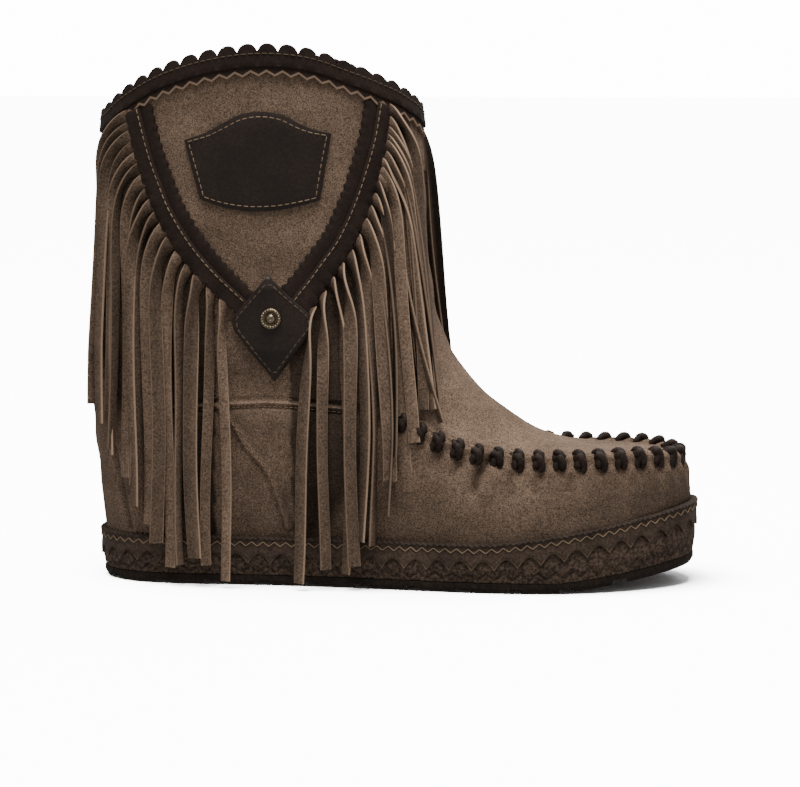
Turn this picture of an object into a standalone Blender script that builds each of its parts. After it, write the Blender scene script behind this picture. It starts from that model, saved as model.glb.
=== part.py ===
"""Fringe boot: a moccasin ankle boot for the right foot with a hidden wedge heel.

Metres, +Z up, +X towards the toe, -Y the outer (lateral) side.  The origin is on the
ground under the middle of the sole.  Every surface is worked out from the sizes below.
A place round the boot is given by its turn: 0 at the back, pi at the front, lateral
side first.
"""

import math

import bpy
import numpy as np
from mathutils import Vector
from mathutils.bvhtree import BVHTree

# Sole
SOLE_LENGTH = 0.270
BALL_WIDTH = 0.102
SOLE_HEIGHT = 0.0205
TREAD_HEIGHT = 0.0042
TOE_SPRING = 0.0092
TOE_RISE = 0.0155
SPRING_START = 0.778
RISE_START = 0.655
GROOVE_WIDTH = 0.0066
GROOVE_DEPTH = 0.0019
GROOVE_PITCH = 0.0228
GROOVE_PHASE = 0.0113
TREAD_TOP_INSET = 0.0012
TREAD_GROUND_INSET = 0.0024
SOLE_SWELL_INSET = 0.0005
RAND_DEPTH = 0.0090
RAND_NOTCH = 0.0034
RAND_LIP = 0.0010
RAND_THICKNESS = 0.0012
RAND_PITCH = 0.0102

# Upper
WALL = 0.0024
LEDGE_HEEL = 0.0018
LEDGE_TOE = 0.0040
FOOT_LIP = 0.0014
SIDE_BULGE = 0.0030
COUNTER_HEIGHT = 0.0810
SEAM_WIDTH = 0.0900
SEAM_BACK_OVERHANG = 0.0042
SEAM_FRONT_SETBACK = 0.0075
SEAM_RIDGE = 0.0014
COLLAR_HEIGHT = 0.2362
COLLAR_DEPTH = 0.1412
COLLAR_WIDTH = 0.0980
COLLAR_BACK_SETBACK = 0.0034
COLLAR_MEDIAL_DROP = 0.0055

# Footbed on its hidden wedge
FOOTBED_THICKNESS = 0.0042
WEDGE_RISE = 0.0520
FOOTBED_CLEARANCE = 0.0008

# Collar band
BAND_THICKNESS = 0.0016
BAND_DEPTH = 0.0099
PINKING_DEPTH = 0.0018
SCALLOP_PITCH = 0.0089
SCALLOP_RISE = 0.0039

# Yoke: V strip, tab over its point, round stud, patch inside it
YOKE_WIDTH = 0.0134
YOKE_THICKNESS = 0.0016
YOKE_CLEARANCE = 0.0005
TAB_WIDTH = 0.0350
TAB_HEIGHT = 0.0460
TAB_THICKNESS = 0.0018
TAB_CENTRE = 0.576
TAB_TOP = 0.586
TAB_STANDOFF = 0.0026
CONCHO_DIAMETER = 0.0091
CONCHO_THICKNESS = 0.0020
CONCHO_DROP = 0.0184
PATCH_WIDTH = 0.0640
PATCH_HEIGHT = 0.0440
PATCH_THICKNESS = 0.0014
PATCH_BACK = 0.302
PATCH_FOOT = 0.706

# Fringe
STRAND_GAP = 0.0008
STRAND_THICKNESS = 0.0013
STRAND_STANDOFF = 0.0018
STRAND_REACH = 0.0080
STRAND_BEND = 0.0100
STRAND_SLIDE = 1.2
HEADER_WIDTH = 0.0018

# Lace whipped over the seam
LACE_PITCH = 0.0094
LACE_WIDTH = 0.0052
LACE_THICKNESS = 0.0022
LACE_HEM = 0.0012
LACE_DOWN = 0.0050
LACE_UP = 0.0038
LACE_CORE = 0.0009
LACE_CLEARANCE = 0.0009
LACE_START = 0.540

GAP = 0.0003

# Outline of the sole: share of its length from the heel, then the half widths of the
# lateral and medial side as shares of half the ball width.
OUTLINE = (
    (0.030, 0.44, 0.44),
    (0.080, 0.63, 0.63),
    (0.150, 0.70, 0.70),
    (0.270, 0.715, 0.69),
    (0.400, 0.775, 0.68),
    (0.520, 0.875, 0.765),
    (0.620, 0.965, 0.900),
    (0.700, 1.000, 0.975),
    (0.790, 0.960, 0.985),
    (0.870, 0.820, 0.885),
    (0.935, 0.600, 0.690),
    (0.980, 0.345, 0.420),
)

# Seam line, where the lower boot meets apron and shaft: share of its length, half width
# as a share of half the seam width, height as a share of the counter height.
SEAM_LINE = (
    (0.000, 0.000, 0.965),
    (0.100, 0.700, 0.982),
    (0.250, 0.885, 1.000),
    (0.380, 0.960, 1.008),
    (0.490, 0.995, 0.990),
    (0.545, 0.995, 0.948),
    (0.600, 0.972, 0.862),
    (0.660, 0.930, 0.785),
    (0.740, 0.855, 0.730),
    (0.820, 0.770, 0.716),
    (0.900, 0.640, 0.722),
    (0.960, 0.440, 0.722),
    (1.000, 0.000, 0.702),
)

# Collar edge: share of the shaft's depth from the back, height as a share of its peak.
COLLAR_LINE = (
    (0.000, 0.872),
    (0.012, 0.876),
    (0.098, 0.916),
    (0.203, 0.953),
    (0.325, 0.980),
    (0.448, 0.996),
    (0.561, 1.001),
    (0.704, 0.990),
    (0.806, 0.966),
    (0.888, 0.944),
    (0.958, 0.918),
    (0.990, 0.899),
    (1.000, 0.888),
)

# Sections between the sole and the seam line: share of the way up, share of the bulge.
WALL_SECTIONS = (
    (0.22, 0.55),
    (0.50, 1.00),
    (0.80, 0.80),
)

# Sections between seam line and collar: how far the front and the back have gone from
# one to the other, how far front and back have risen, the girth against an even taper,
# and how much the front of the section is drawn in.
SHAFT_SECTIONS = (
    # front_back  heel_in  rise_front  rise_back  girth  drawn_in
    (0.030, 0.00, 0.003, 0.022, 0.998, 0.000),
    (0.133, 0.00, 0.006, 0.055, 0.990, 0.040),
    (0.341, 0.00, 0.020, 0.120, 0.985, 0.110),
    (0.573, 0.09, 0.072, 0.200, 0.980, 0.150),
    (0.775, 0.33, 0.174, 0.320, 0.965, 0.140),
    (0.908, 0.60, 0.312, 0.430, 0.960, 0.080),
    (0.963, 0.74, 0.550, 0.600, 0.970, 0.030),
    (0.976, 0.79, 0.802, 0.815, 0.985, 0.000),
)

# Footbed: share of the sole's length, height as a share of the wedge's rise.
FOOTBED_LINE = (
    (0.00, 1.00),
    (0.18, 0.97),
    (0.32, 0.76),
    (0.46, 0.43),
    (0.58, 0.15),
    (0.68, 0.02),
    (0.76, 0.00),
    (1.00, 0.00),
)

# Middle of the V strip, from the top of its rear arm round its point to the top of its
# front arm: share of the shaft's depth, height as a share of the collar's peak.
YOKE_LINE = (
    (0.158, 0.873),
    (0.183, 0.817),
    (0.215, 0.762),
    (0.253, 0.707),
    (0.313, 0.648),
    (0.384, 0.597),
    (0.474, 0.546),
    (0.571, 0.496),
    (0.664, 0.559),
    (0.719, 0.605),
    (0.776, 0.656),
    (0.822, 0.720),
    (0.855, 0.783),
    (0.878, 0.838),
    (0.888, 0.873),
)

# Tab: share of its height from the top, half width as a share of half its width, and
# share of its standoff, which clears the V strip under it.
TAB_OUTLINE = (
    (0.00, 0.05, 0.0),
    (0.12, 0.36, 1.0),
    (0.26, 0.70, 1.0),
    (0.40, 1.00, 1.0),
    (0.52, 1.00, 1.0),
    (0.71, 0.62, 1.0),
    (0.84, 0.35, 0.0),
    (1.00, 0.05, 0.0),
)

# Patch: share of its width from the back, then its lower and upper edge as shares of
# its height.
PATCH_OUTLINE = (
    (0.000, 0.42, 0.72),
    (0.060, 0.16, 0.75),
    (0.180, 0.09, 0.84),
    (0.330, 0.02, 0.97),
    (0.480, 0.00, 1.00),
    (0.660, 0.03, 0.96),
    (0.820, 0.09, 0.86),
    (0.940, 0.17, 0.79),
    (1.000, 0.60, 0.78),
)

# Strands of each arm, from its top to the tab: height of the end as a share of the
# collar's peak, sideways reach as a share of the whole reach.
REAR_STRANDS = (
    (0.400, 1.60),
    (0.345, 1.50),
    (0.300, 1.40),
    (0.255, 1.30),
    (0.225, 1.20),
    (0.160, 1.10),
    (0.120, 1.00),
    (0.135, 0.90),
    (0.098, 0.80),
    (0.082, 0.70),
    (0.050, 0.60),
    (0.038, 0.50),
    (0.030, 0.40),
    (0.013, 0.30),
)
FRONT_STRANDS = (
    (0.350, 1.20),
    (0.335, 1.15),
    (0.352, 1.10),
    (0.345, 1.00),
    (0.362, 0.90),
    (0.360, 0.75),
    (0.262, 0.55),
    (0.182, 0.45),
    (0.140, 0.40),
    (0.206, 0.35),
    (0.084, 0.30),
    (0.046, 0.25),
    (0.028, 0.20),
    (0.014, 0.15),
)

# Where the two arms carry strands, as shares of the V's length.
REAR_ARM = (0.004, 0.415)
FRONT_ARM = (0.560, 0.996)

# Rows of a strand: the drops of the two in its bend, the least drop of the one where it
# rests on the widest place under it.
BEND_DROPS = (0.004, 0.012)
REST_DROP = 0.030

# Turned profile of the stud: share of its radius, share of its height.
CONCHO_PROFILE = (
    (0.00, 1.00),
    (0.20, 0.97),
    (0.42, 0.80),
    (0.52, 0.50),
    (0.66, 0.50),
    (0.78, 0.80),
    (0.92, 0.70),
    (1.00, 0.40),
    (1.00, 0.00),
    (0.00, 0.00),
)

HEEL_X = -SOLE_LENGTH / 2
SEAM_BACK = HEEL_X - SEAM_BACK_OVERHANG
SEAM_FRONT = HEEL_X + SOLE_LENGTH - SEAM_FRONT_SETBACK
COLLAR_BACK = HEEL_X + COLLAR_BACK_SETBACK
COLLAR_FRONT = COLLAR_BACK + COLLAR_DEPTH
SEAM_SECTION = len(WALL_SECTIONS) + 2
LAST_SECTION = SEAM_SECTION + len(SHAFT_SECTIONS) + 1
NUDGE = 0.01
YOKE_ROUNDING = 0.03
YOKE_LENGTH = 0.225
MAP_TURNS = np.linspace(0, 2 * math.pi, 721)
MAP_HEIGHTS = np.linspace(SOLE_HEIGHT, COLLAR_HEIGHT + 0.012, 229)

SUEDE = ((0.19, 0.135, 0.10), 0.95, 0.0)
DARK_SUEDE = ((0.024, 0.017, 0.014), 0.90, 0.0)
DARK_LEATHER = ((0.022, 0.016, 0.014), 0.45, 0.0)
CREPE = ((0.050, 0.034, 0.026), 0.85, 0.0)
TREAD_RUBBER = ((0.020, 0.016, 0.014), 0.80, 0.0)
FOOTBED_LEATHER = ((0.16, 0.11, 0.08), 0.80, 0.0)
AGED_METAL = ((0.42, 0.37, 0.30), 0.35, 1.0)


def column(table, index):
    return np.array([row[index] for row in table])


def unit(vectors):
    return vectors / np.linalg.norm(vectors, axis=-1, keepdims=True)


def smooth(knots, values, at):
    """Cubic curve through the values, with each slope taken from the two neighbours."""
    knots, values = np.asarray(knots, float), np.asarray(values, float)
    at = np.clip(np.asarray(at, float), knots[0], knots[-1])
    step = np.diff(knots)
    rate = np.diff(values) / step
    slope = np.empty_like(values)
    slope[1:-1] = (rate[:-1] * step[1:] + rate[1:] * step[:-1]) / (step[:-1] + step[1:])
    slope[0], slope[-1] = rate[0], rate[-1]
    low = np.clip(np.searchsorted(knots, at, side="right") - 1, 0, len(step) - 1)
    span = step[low]
    part = (at - knots[low]) / span
    start = (2 * part**3 - 3 * part**2 + 1) * values[low]
    end = (3 * part**2 - 2 * part**3) * values[low + 1]
    lean = (part**3 - 2 * part**2 + part) * slope[low] + (part**3 - part**2) * slope[low + 1]
    return start + end + lean * span


def share_of(turn):
    """Share of the length, 0 at the back and 1 at the front."""
    return (1 - np.cos(turn)) / 2


def side_of(turn):
    """-1 on the lateral side, +1 on the medial side, 0 at front and back."""
    across = np.sin(turn)
    return np.where(across > 1e-9, -1.0, np.where(across < -1e-9, 1.0, 0.0))


def loop_turns(columns):
    return 2 * math.pi * np.arange(columns) / columns


def round_ended(shares, widths, at):
    """Half width along a closed outline whose two ends are round."""
    turn = np.arccos(1 - 2 * np.asarray(shares, float))
    knots = np.concatenate(([-turn[0], 0], turn, [math.pi, 2 * math.pi - turn[-1]]))
    values = np.concatenate(([-widths[0], 0], widths, [0, -widths[-1]]))
    return smooth(knots, values, np.arccos(1 - 2 * np.clip(at, 0, 1)))


def outline_point(turn):
    share, side = share_of(turn), side_of(turn)
    lateral = round_ended(column(OUTLINE, 0), column(OUTLINE, 1), share)
    medial = round_ended(column(OUTLINE, 0), column(OUTLINE, 2), share)
    half = np.where(side < 0, lateral, medial) * BALL_WIDTH / 2
    return np.stack((HEEL_X + SOLE_LENGTH * share, side * half), axis=-1)


def moved_in(plan, before, after, inset):
    """Plan points moved inwards, square to the way from the point before to the one after."""
    along = unit(after - before)
    inward = np.stack((-along[..., 1], along[..., 0]), axis=-1)
    return plan + inward * np.reshape(inset, (-1, 1))


def outline_plan(turn, inset=0.0):
    """Points of the sole's outline in plan, moved inwards by the inset."""
    before, after = outline_point(turn - NUDGE), outline_point(turn + NUDGE)
    return moved_in(outline_point(turn), before, after, inset)


def ground_line(x):
    """Height of the sole's underside: flat, then sprung at the toe."""
    share = (np.asarray(x) - HEEL_X) / SOLE_LENGTH
    sprung = np.clip((share - SPRING_START) / (1 - SPRING_START), 0, 1)
    return TOE_SPRING * sprung**1.25


def sole_top(x):
    """Height of the sole's top edge: level, then rising to the toe."""
    share = (np.asarray(x) - HEEL_X) / SOLE_LENGTH
    risen = np.clip((share - RISE_START) / (1 - RISE_START), 0, 1)
    return SOLE_HEIGHT + TOE_RISE * risen**1.32


def feather_line(turn):
    """Lower edge of the upper, inside the rand, just clear of the sole's top."""
    plan = outline_plan(turn, LEDGE_HEEL + (LEDGE_TOE - LEDGE_HEEL) * share_of(turn))
    return np.column_stack((plan, sole_top(plan[:, 0]) + GAP))


def seam_height(x):
    share = (x - SEAM_BACK) / (SEAM_FRONT - SEAM_BACK)
    return smooth(column(SEAM_LINE, 0), column(SEAM_LINE, 2), share) * COUNTER_HEIGHT


def seam_line(turn):
    """Line where the lower boot meets apron and shaft."""
    share = share_of(turn)
    inner = SEAM_LINE[1:-1]
    half = round_ended(column(inner, 0), column(inner, 1), share) * SEAM_WIDTH / 2
    x = SEAM_BACK + (SEAM_FRONT - SEAM_BACK) * share
    return np.column_stack((x, side_of(turn) * half, seam_height(x)))


def collar_line(turn):
    """The upper's top edge, high at the sides, low at front and back."""
    share, side = share_of(turn), side_of(turn)
    across = np.abs(np.sin(turn))
    half = across ** (0.92 + 0.23 * share) * COLLAR_WIDTH / 2
    height = smooth(column(COLLAR_LINE, 0), column(COLLAR_LINE, 1), share) * COLLAR_HEIGHT
    height = height - np.where(side > 0, across**0.45 * COLLAR_MEDIAL_DROP, 0.0)
    return np.column_stack((COLLAR_BACK + COLLAR_DEPTH * share, side * half, height))


def upper_sections(turn):
    """Points of the upper's sections at the turns, from the sole to the collar."""
    share = share_of(turn)
    feather, seam, collar = feather_line(turn), seam_line(turn), collar_line(turn)
    outward = np.abs(np.sin(turn)) ** 1.5 * SIDE_BULGE
    sections = [feather, feather + (0.0, 0.0, FOOT_LIP)]
    for way_up, bulge in WALL_SECTIONS:
        section = feather + (seam - feather) * way_up
        section[:, 1] += side_of(turn) * outward * bulge
        sections.append(section)
    sections.append(seam)
    for front_back, heel_in, rise_front, rise_back, girth, drawn_in in SHAFT_SECTIONS:
        back = SEAM_BACK + (COLLAR_BACK - SEAM_BACK) * heel_in
        front = SEAM_FRONT + (COLLAR_FRONT - SEAM_FRONT) * front_back
        rise = rise_back + (rise_front - rise_back) * share
        half = seam[:, 1] + (collar[:, 1] - seam[:, 1]) * rise
        half = half * girth * (1 - drawn_in * share**4)
        x = back + (front - back) * share
        height = seam_height(x) + (collar[:, 2] - seam_height(x)) * rise
        sections.append(np.column_stack((x, half, height)))
    sections.append(collar)
    return np.array(sections)


def plain_upper(turn, rows):
    """Grid of points of the outer face without its ridge; rows are section numbers."""
    sections = upper_sections(turn)
    knots = np.arange(len(sections), dtype=float)
    flat = sections.reshape(len(sections), -1)
    grid = np.stack([smooth(knots, line, rows) for line in flat.T], axis=1)
    return grid.reshape(len(rows), len(turn), 3)


def upper_surface(turn, rows):
    """Grid of points of the outer face, with the seam raised as a ridge round the apron."""
    turn, rows = np.asarray(turn, float), np.asarray(rows, float)
    grid = plain_upper(turn, rows)
    across = np.interp(rows, (SEAM_SECTION - 0.35, SEAM_SECTION, SEAM_SECTION + 1), (0, 1, 0))
    along = np.clip((share_of(turn) - 0.49) / 0.06, 0, 1)
    seam = np.array([float(SEAM_SECTION)])
    sideways = plain_upper(turn + NUDGE, seam) - plain_upper(turn - NUDGE, seam)
    upwards = plain_upper(turn, seam + 1) - plain_upper(turn, seam - 0.35)
    outward = unit(np.cross(sideways, upwards))
    return grid + outward * (across[:, None] * along)[:, :, None] * SEAM_RIDGE


def shaft_point(turn, height, lift=0.0):
    """Points over the shaft at turns and heights, lifted square to its face."""
    turn, height = np.broadcast_arrays(np.asarray(turn, float), np.asarray(height, float))
    middle = shaft_foot(turn, height)
    sideways = shaft_foot(turn + NUDGE, height) - shaft_foot(turn - NUDGE, height)
    upwards = shaft_foot(turn, height + 0.002) - shaft_foot(turn, height - 0.002)
    return middle + unit(np.cross(sideways, upwards)) * np.asarray(lift)[..., None]


def shaft_map():
    """Plan points of the outer face on an even grid of turns and heights.

    Above the collar the face runs on straight.
    """
    rows = np.linspace(1.0, LAST_SECTION, 12 * (LAST_SECTION - 1) + 1)
    lines = plain_upper(MAP_TURNS, rows)
    plans = np.empty((len(MAP_TURNS), len(MAP_HEIGHTS), 2))
    for number in range(len(MAP_TURNS)):
        line = lines[:, number]
        slope = (line[-1] - line[-7])[:2] / (line[-1] - line[-7])[2]
        above = np.clip(MAP_HEIGHTS - line[-1, 2], 0, None)
        for axis in (0, 1):
            level = np.interp(MAP_HEIGHTS, line[:, 2], line[:, axis])
            plans[number, :, axis] = level + above * slope[axis]
    return plans


def shaft_foot(turn, height):
    """Points on the outer face at turns and heights."""
    turn, height = np.broadcast_arrays(np.asarray(turn, float), np.asarray(height, float))
    across = (turn % (2 * math.pi)) / (MAP_TURNS[1] - MAP_TURNS[0])
    up = (height - MAP_HEIGHTS[0]) / (MAP_HEIGHTS[1] - MAP_HEIGHTS[0])
    j = np.clip(across.astype(int), 0, len(MAP_TURNS) - 2)
    k = np.clip(up.astype(int), 0, len(MAP_HEIGHTS) - 2)
    a, b = (across - j)[..., None], (up - k)[..., None]
    low = SHAFT_MAP[j, k] * (1 - a) + SHAFT_MAP[j + 1, k] * a
    high = SHAFT_MAP[j, k + 1] * (1 - a) + SHAFT_MAP[j + 1, k + 1] * a
    return np.concatenate((low * (1 - b) + high * b, height[..., None]), axis=-1)


def shifted(turn, height, along, up):
    """A place on the shaft moved by lengths along its girth (with the turn) and up its face."""
    here = shaft_foot(turn, height)
    girth = np.linalg.norm(shaft_foot(turn + NUDGE, height) - here, axis=-1) / NUDGE
    rise = np.linalg.norm(shaft_foot(turn, height + 0.002) - here, axis=-1) / 0.002
    return turn + along / girth, height + up / rise


def new_object(name, vertices, faces, finish, smooth_angle=40, edges=()):
    """A mesh object in the boot's collection, with its own material."""
    mesh = bpy.data.meshes.new(name)
    mesh.from_pydata([tuple(map(float, v)) for v in vertices], edges, faces)
    mesh.validate()
    made = bpy.data.objects.new(name, mesh)
    bpy.data.collections["fringe_boot"].objects.link(made)
    colour, roughness, metallic = finish
    material = bpy.data.materials.new(name)
    material.use_nodes = True
    shader = material.node_tree.nodes["Principled BSDF"]
    shader.inputs["Base Color"].default_value = (*colour, 1.0)
    shader.inputs["Roughness"].default_value = roughness
    shader.inputs["Metallic"].default_value = metallic
    mesh.materials.append(material)
    mesh.shade_smooth()
    mesh.set_sharp_from_angle(angle=math.radians(smooth_angle))
    return made


def ring_faces(rows, columns):
    """Quads of a grid whose rows are closed loops; they face outwards on loops run this way."""
    faces = []
    for row in range(rows - 1):
        for j in range(columns):
            k = (j + 1) % columns
            low, high = row * columns, (row + 1) * columns
            faces.append((low + j, low + k, high + k, high + j))
    return faces


def ladder_faces(start, columns, upwards):
    """Cross strips that close a loop, each from the lateral side to the medial side."""
    half = columns // 2
    faces = []
    for j in range(half):
        lateral, lateral_next = start + j, start + j + 1
        medial, medial_next = start + (columns - j) % columns, start + columns - j - 1
        corners = [lateral, lateral_next, medial_next, medial]
        face = [c for n, c in enumerate(corners) if c not in corners[:n]]
        faces.append(tuple(face if upwards else face[::-1]))
    return faces


def closed_loft(name, loops, finish):
    """A solid between closed loops, lowest first, with both ends closed by ladders."""
    columns = len(loops[0])
    faces = ring_faces(len(loops), columns)
    faces += ladder_faces(0, columns, upwards=False)
    faces += ladder_faces((len(loops) - 1) * columns, columns, upwards=True)
    return new_object(name, np.concatenate(loops), faces, finish)


def plate(name, inner, outer, finish, side):
    """A solid sheet between two grids of points (rows up, columns along the girth)."""
    rows, columns = inner.shape[:2]
    count = rows * columns
    faces = []
    for row in range(rows - 1):
        for j in range(columns - 1):
            a, b = row * columns + j, row * columns + j + 1
            c, d = b + columns, a + columns
            faces.append((count + a, count + b, count + c, count + d))
            faces.append((d, c, b, a))
    rim = [j for j in range(columns)]
    rim += [row * columns + columns - 1 for row in range(1, rows)]
    rim += [(rows - 1) * columns + j for j in range(columns - 2, -1, -1)]
    rim += [row * columns for row in range(rows - 2, 0, -1)]
    for a, b in zip(rim, rim[1:] + rim[:1]):
        faces.append((a, b, count + b, count + a))
    if side > 0:
        faces = [face[::-1] for face in faces]
    points = np.concatenate((inner.reshape(-1, 3), outer.reshape(-1, 3)))
    return new_object(name, points, faces, finish)


def sole_loop(columns, inset, height):
    """A loop of the sole at a height, given as a function of x."""
    plan = outline_plan(loop_turns(columns), inset)
    return np.column_stack((plan, height(plan[:, 0])))


def make_midsole():
    """Platform of the sole: its side swells below the rand and tucks in at the tread."""
    columns = 60
    base, rand_seat = TREAD_HEIGHT + GAP, RAND_THICKNESS + GAP

    def share_up(part):
        return lambda x: ground_line(x) + base + part * (sole_top(x) - ground_line(x) - base)

    loops = [
        sole_loop(columns, TREAD_TOP_INSET, share_up(0.0)),
        sole_loop(columns, SOLE_SWELL_INSET, share_up(0.2)),
        sole_loop(columns, rand_seat, lambda x: sole_top(x) - RAND_DEPTH - GAP),
        sole_loop(columns, rand_seat, sole_top),
    ]
    return closed_loft("midsole", loops, CREPE)


def make_outsole():
    """Tread: a thin sprung layer with open grooves across its underside."""
    columns = 60
    loops = [
        sole_loop(columns, TREAD_GROUND_INSET, ground_line),
        sole_loop(columns, TREAD_TOP_INSET, lambda x: ground_line(x) + GROOVE_DEPTH),
        sole_loop(columns, TREAD_TOP_INSET, lambda x: ground_line(x) + TREAD_HEIGHT),
    ]
    outsole = closed_loft("outsole", loops, TREAD_RUBBER)
    first = math.ceil((HEEL_X + GROOVE_WIDTH - GROOVE_PHASE) / GROOVE_PITCH)
    last = math.floor((HEEL_X + SOLE_LENGTH - 2 * GROOVE_WIDTH - GROOVE_PHASE) / GROOVE_PITCH)
    for number in range(first, last + 1):
        x = GROOVE_PHASE + number * GROOVE_PITCH
        ends = ground_line(np.array([x - GROOVE_WIDTH / 2, x + GROOVE_WIDTH / 2]))
        tilt = math.atan2(ends[1] - ends[0], GROOVE_WIDTH)
        cut_groove(outsole, x, float(ends.mean()), tilt, number - first)
    return outsole


def cut_groove(outsole, x, ground, tilt, number):
    """One groove, cut through the whole width of the tread by a box."""
    bpy.ops.mesh.primitive_cube_add(size=1.0)
    cutter = bpy.context.object
    cutter.name = f"groove_cutter_{number:02d}"
    cutter.location = (x, 0.0, ground)
    cutter.rotation_euler = (0.0, -tilt, 0.0)
    cutter.scale = (GROOVE_WIDTH, 1.4 * BALL_WIDTH, 2 * GROOVE_DEPTH)
    cutter.hide_render = True
    cutter.display_type = "WIRE"
    for holder in cutter.users_collection:
        holder.objects.unlink(cutter)
    bpy.data.collections["cutters"].objects.link(cutter)
    groove = outsole.modifiers.new(f"groove_{number:02d}", "BOOLEAN")
    groove.operation, groove.solver, groove.object = "DIFFERENCE", "EXACT", cutter


def strip_ring(name, inner, outer, finish):
    """A closed band: inner and outer hold the same number of loops, lowest first."""
    rows, columns = len(inner), len(inner[0])
    faces = ring_faces(rows, columns)
    count = rows * columns
    faces += [tuple(count + c for c in face[::-1]) for face in ring_faces(rows, columns)]
    top = (rows - 1) * columns
    for j in range(columns):
        k = (j + 1) % columns
        faces.append((count + j, count + k, k, j))
        faces.append((top + j, top + k, count + top + k, count + top + j))
    return new_object(name, np.concatenate([*outer, *inner]), faces, finish)


def even_turns(line, points):
    """Turns that space points evenly, by length, round a closed line."""
    turns = loop_turns(400)
    loop = line(turns)
    steps = np.linalg.norm(np.roll(loop, -1, axis=0) - loop, axis=1)
    length = np.concatenate(([0], np.cumsum(steps)))
    at = length[-1] * np.arange(points) / points
    return np.interp(at, length, np.append(turns, 2 * math.pi))


def girth_of(line):
    loop = line(loop_turns(400))
    return float(np.linalg.norm(np.roll(loop, -1, axis=0) - loop, axis=1).sum())


def make_rand():
    """Strip round the sole's top edge, its lower edge cut into arches with points between."""
    points = 2 * round(girth_of(outline_point) / RAND_PITCH)
    turns = even_turns(outline_point, points)
    lift = np.where(np.arange(points) % 2 == 0, 0.0, RAND_NOTCH)
    inner, outer = [], []
    for inset, loops in ((RAND_THICKNESS, inner), (0.0, outer)):
        plan = outline_plan(turns, inset)
        top = sole_top(plan[:, 0])
        loops.append(np.column_stack((plan, top - RAND_DEPTH + lift)))
        loops.append(np.column_stack((plan, top + RAND_LIP)))
    return strip_ring("rand", inner, outer, DARK_LEATHER)


def make_insole():
    """Footbed on the hidden wedge, inside the foot of the upper."""
    turns = loop_turns(48)
    lower_boot = upper_sections(turns)[: SEAM_SECTION + 1]
    x = lower_boot[0][:, 0]
    base = sole_top(x) + GAP
    part = (x - HEEL_X) / SOLE_LENGTH
    wedge = smooth(column(FOOTBED_LINE, 0), column(FOOTBED_LINE, 1), part) * WEDGE_RISE
    loops = []
    for way_up in (0.0, 0.5, 1.0):
        level = base + (FOOTBED_THICKNESS + wedge) * way_up
        plan = np.empty((len(turns), 2))
        for j, height in enumerate(level):
            plan[j, 0] = np.interp(height, lower_boot[:, j, 2], lower_boot[:, j, 0])
            plan[j, 1] = np.interp(height, lower_boot[:, j, 2], lower_boot[:, j, 1])
        before, after = np.roll(plan, 1, axis=0), np.roll(plan, -1, axis=0)
        plan = moved_in(plan, before, after, WALL + FOOTBED_CLEARANCE)
        loops.append(np.column_stack((plan, level)))
    return closed_loft("insole", loops, FOOTBED_LEATHER)


def upper_rows():
    """Section numbers of the upper's mesh, closer at the seam and along the instep."""
    return np.concatenate((
        np.arange(0, SEAM_SECTION, 1.0),
        [SEAM_SECTION - 0.35, SEAM_SECTION, SEAM_SECTION + 1.0, SEAM_SECTION + 2.0],
        np.arange(SEAM_SECTION + 3.0, LAST_SECTION - 2.0, 0.5),
        np.arange(LAST_SECTION - 2.0, LAST_SECTION + 0.1, 1.0),
    ))


def make_upper():
    """One hollow wall: lower boot, apron and shaft, open at the collar and over the sole.

    Its outer face comes back as a tree of faces, for the lace to lie on.
    """
    columns, rows = 44, upper_rows()
    points = upper_surface(loop_turns(columns), rows).reshape(-1, 3)
    faces = ring_faces(len(rows), columns)
    upper = new_object("upper", points, faces, SUEDE, smooth_angle=60)
    wall = upper.modifiers.new("wall", "SOLIDIFY")
    wall.thickness, wall.offset = WALL, -1.0
    wall.use_even_offset = True
    return BVHTree.FromPolygons([Vector(point) for point in points], faces)


def make_collar_band():
    """Band round the collar: scalloped above the edge, pinked below, with its own wall."""
    scallops = 2 * round(girth_of(collar_line) / SCALLOP_PITCH / 2)
    points = 3 * scallops
    turns = even_turns(collar_line, points)
    edge = collar_line(turns)[:, 2]
    number = np.arange(points)
    top = edge + SCALLOP_RISE * np.where(number % 3 == 0, 0.25, 1.0)
    low = edge - BAND_DEPTH + np.where(number % 2 == 0, 0.0, PINKING_DEPTH)
    inner, outer = [], []
    for lift, loops in ((GAP, inner), (GAP + BAND_THICKNESS, outer)):
        loops.append(shaft_point(turns, low, np.full(points, lift)))
        loops.append(shaft_point(turns, top, np.full(points, lift)))
    return strip_ring("collar_band", inner, outer, DARK_SUEDE)


def turn_at(depth, height, side):
    """Turns of the shaft's points at shares of its depth from the back, at heights."""
    depth, height = np.broadcast_arrays(depth, height)
    fan = np.linspace(0.02, math.pi - 0.02, 181)
    turns = np.empty(depth.shape)
    for place in np.ndindex(depth.shape):
        round_side = fan if side < 0 else 2 * math.pi - fan
        x = shaft_foot(round_side, height[place])[:, 0]
        turns[place] = np.interp(COLLAR_BACK + COLLAR_DEPTH * depth[place], x, fan)
    return turns if side < 0 else 2 * math.pi - turns


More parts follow.
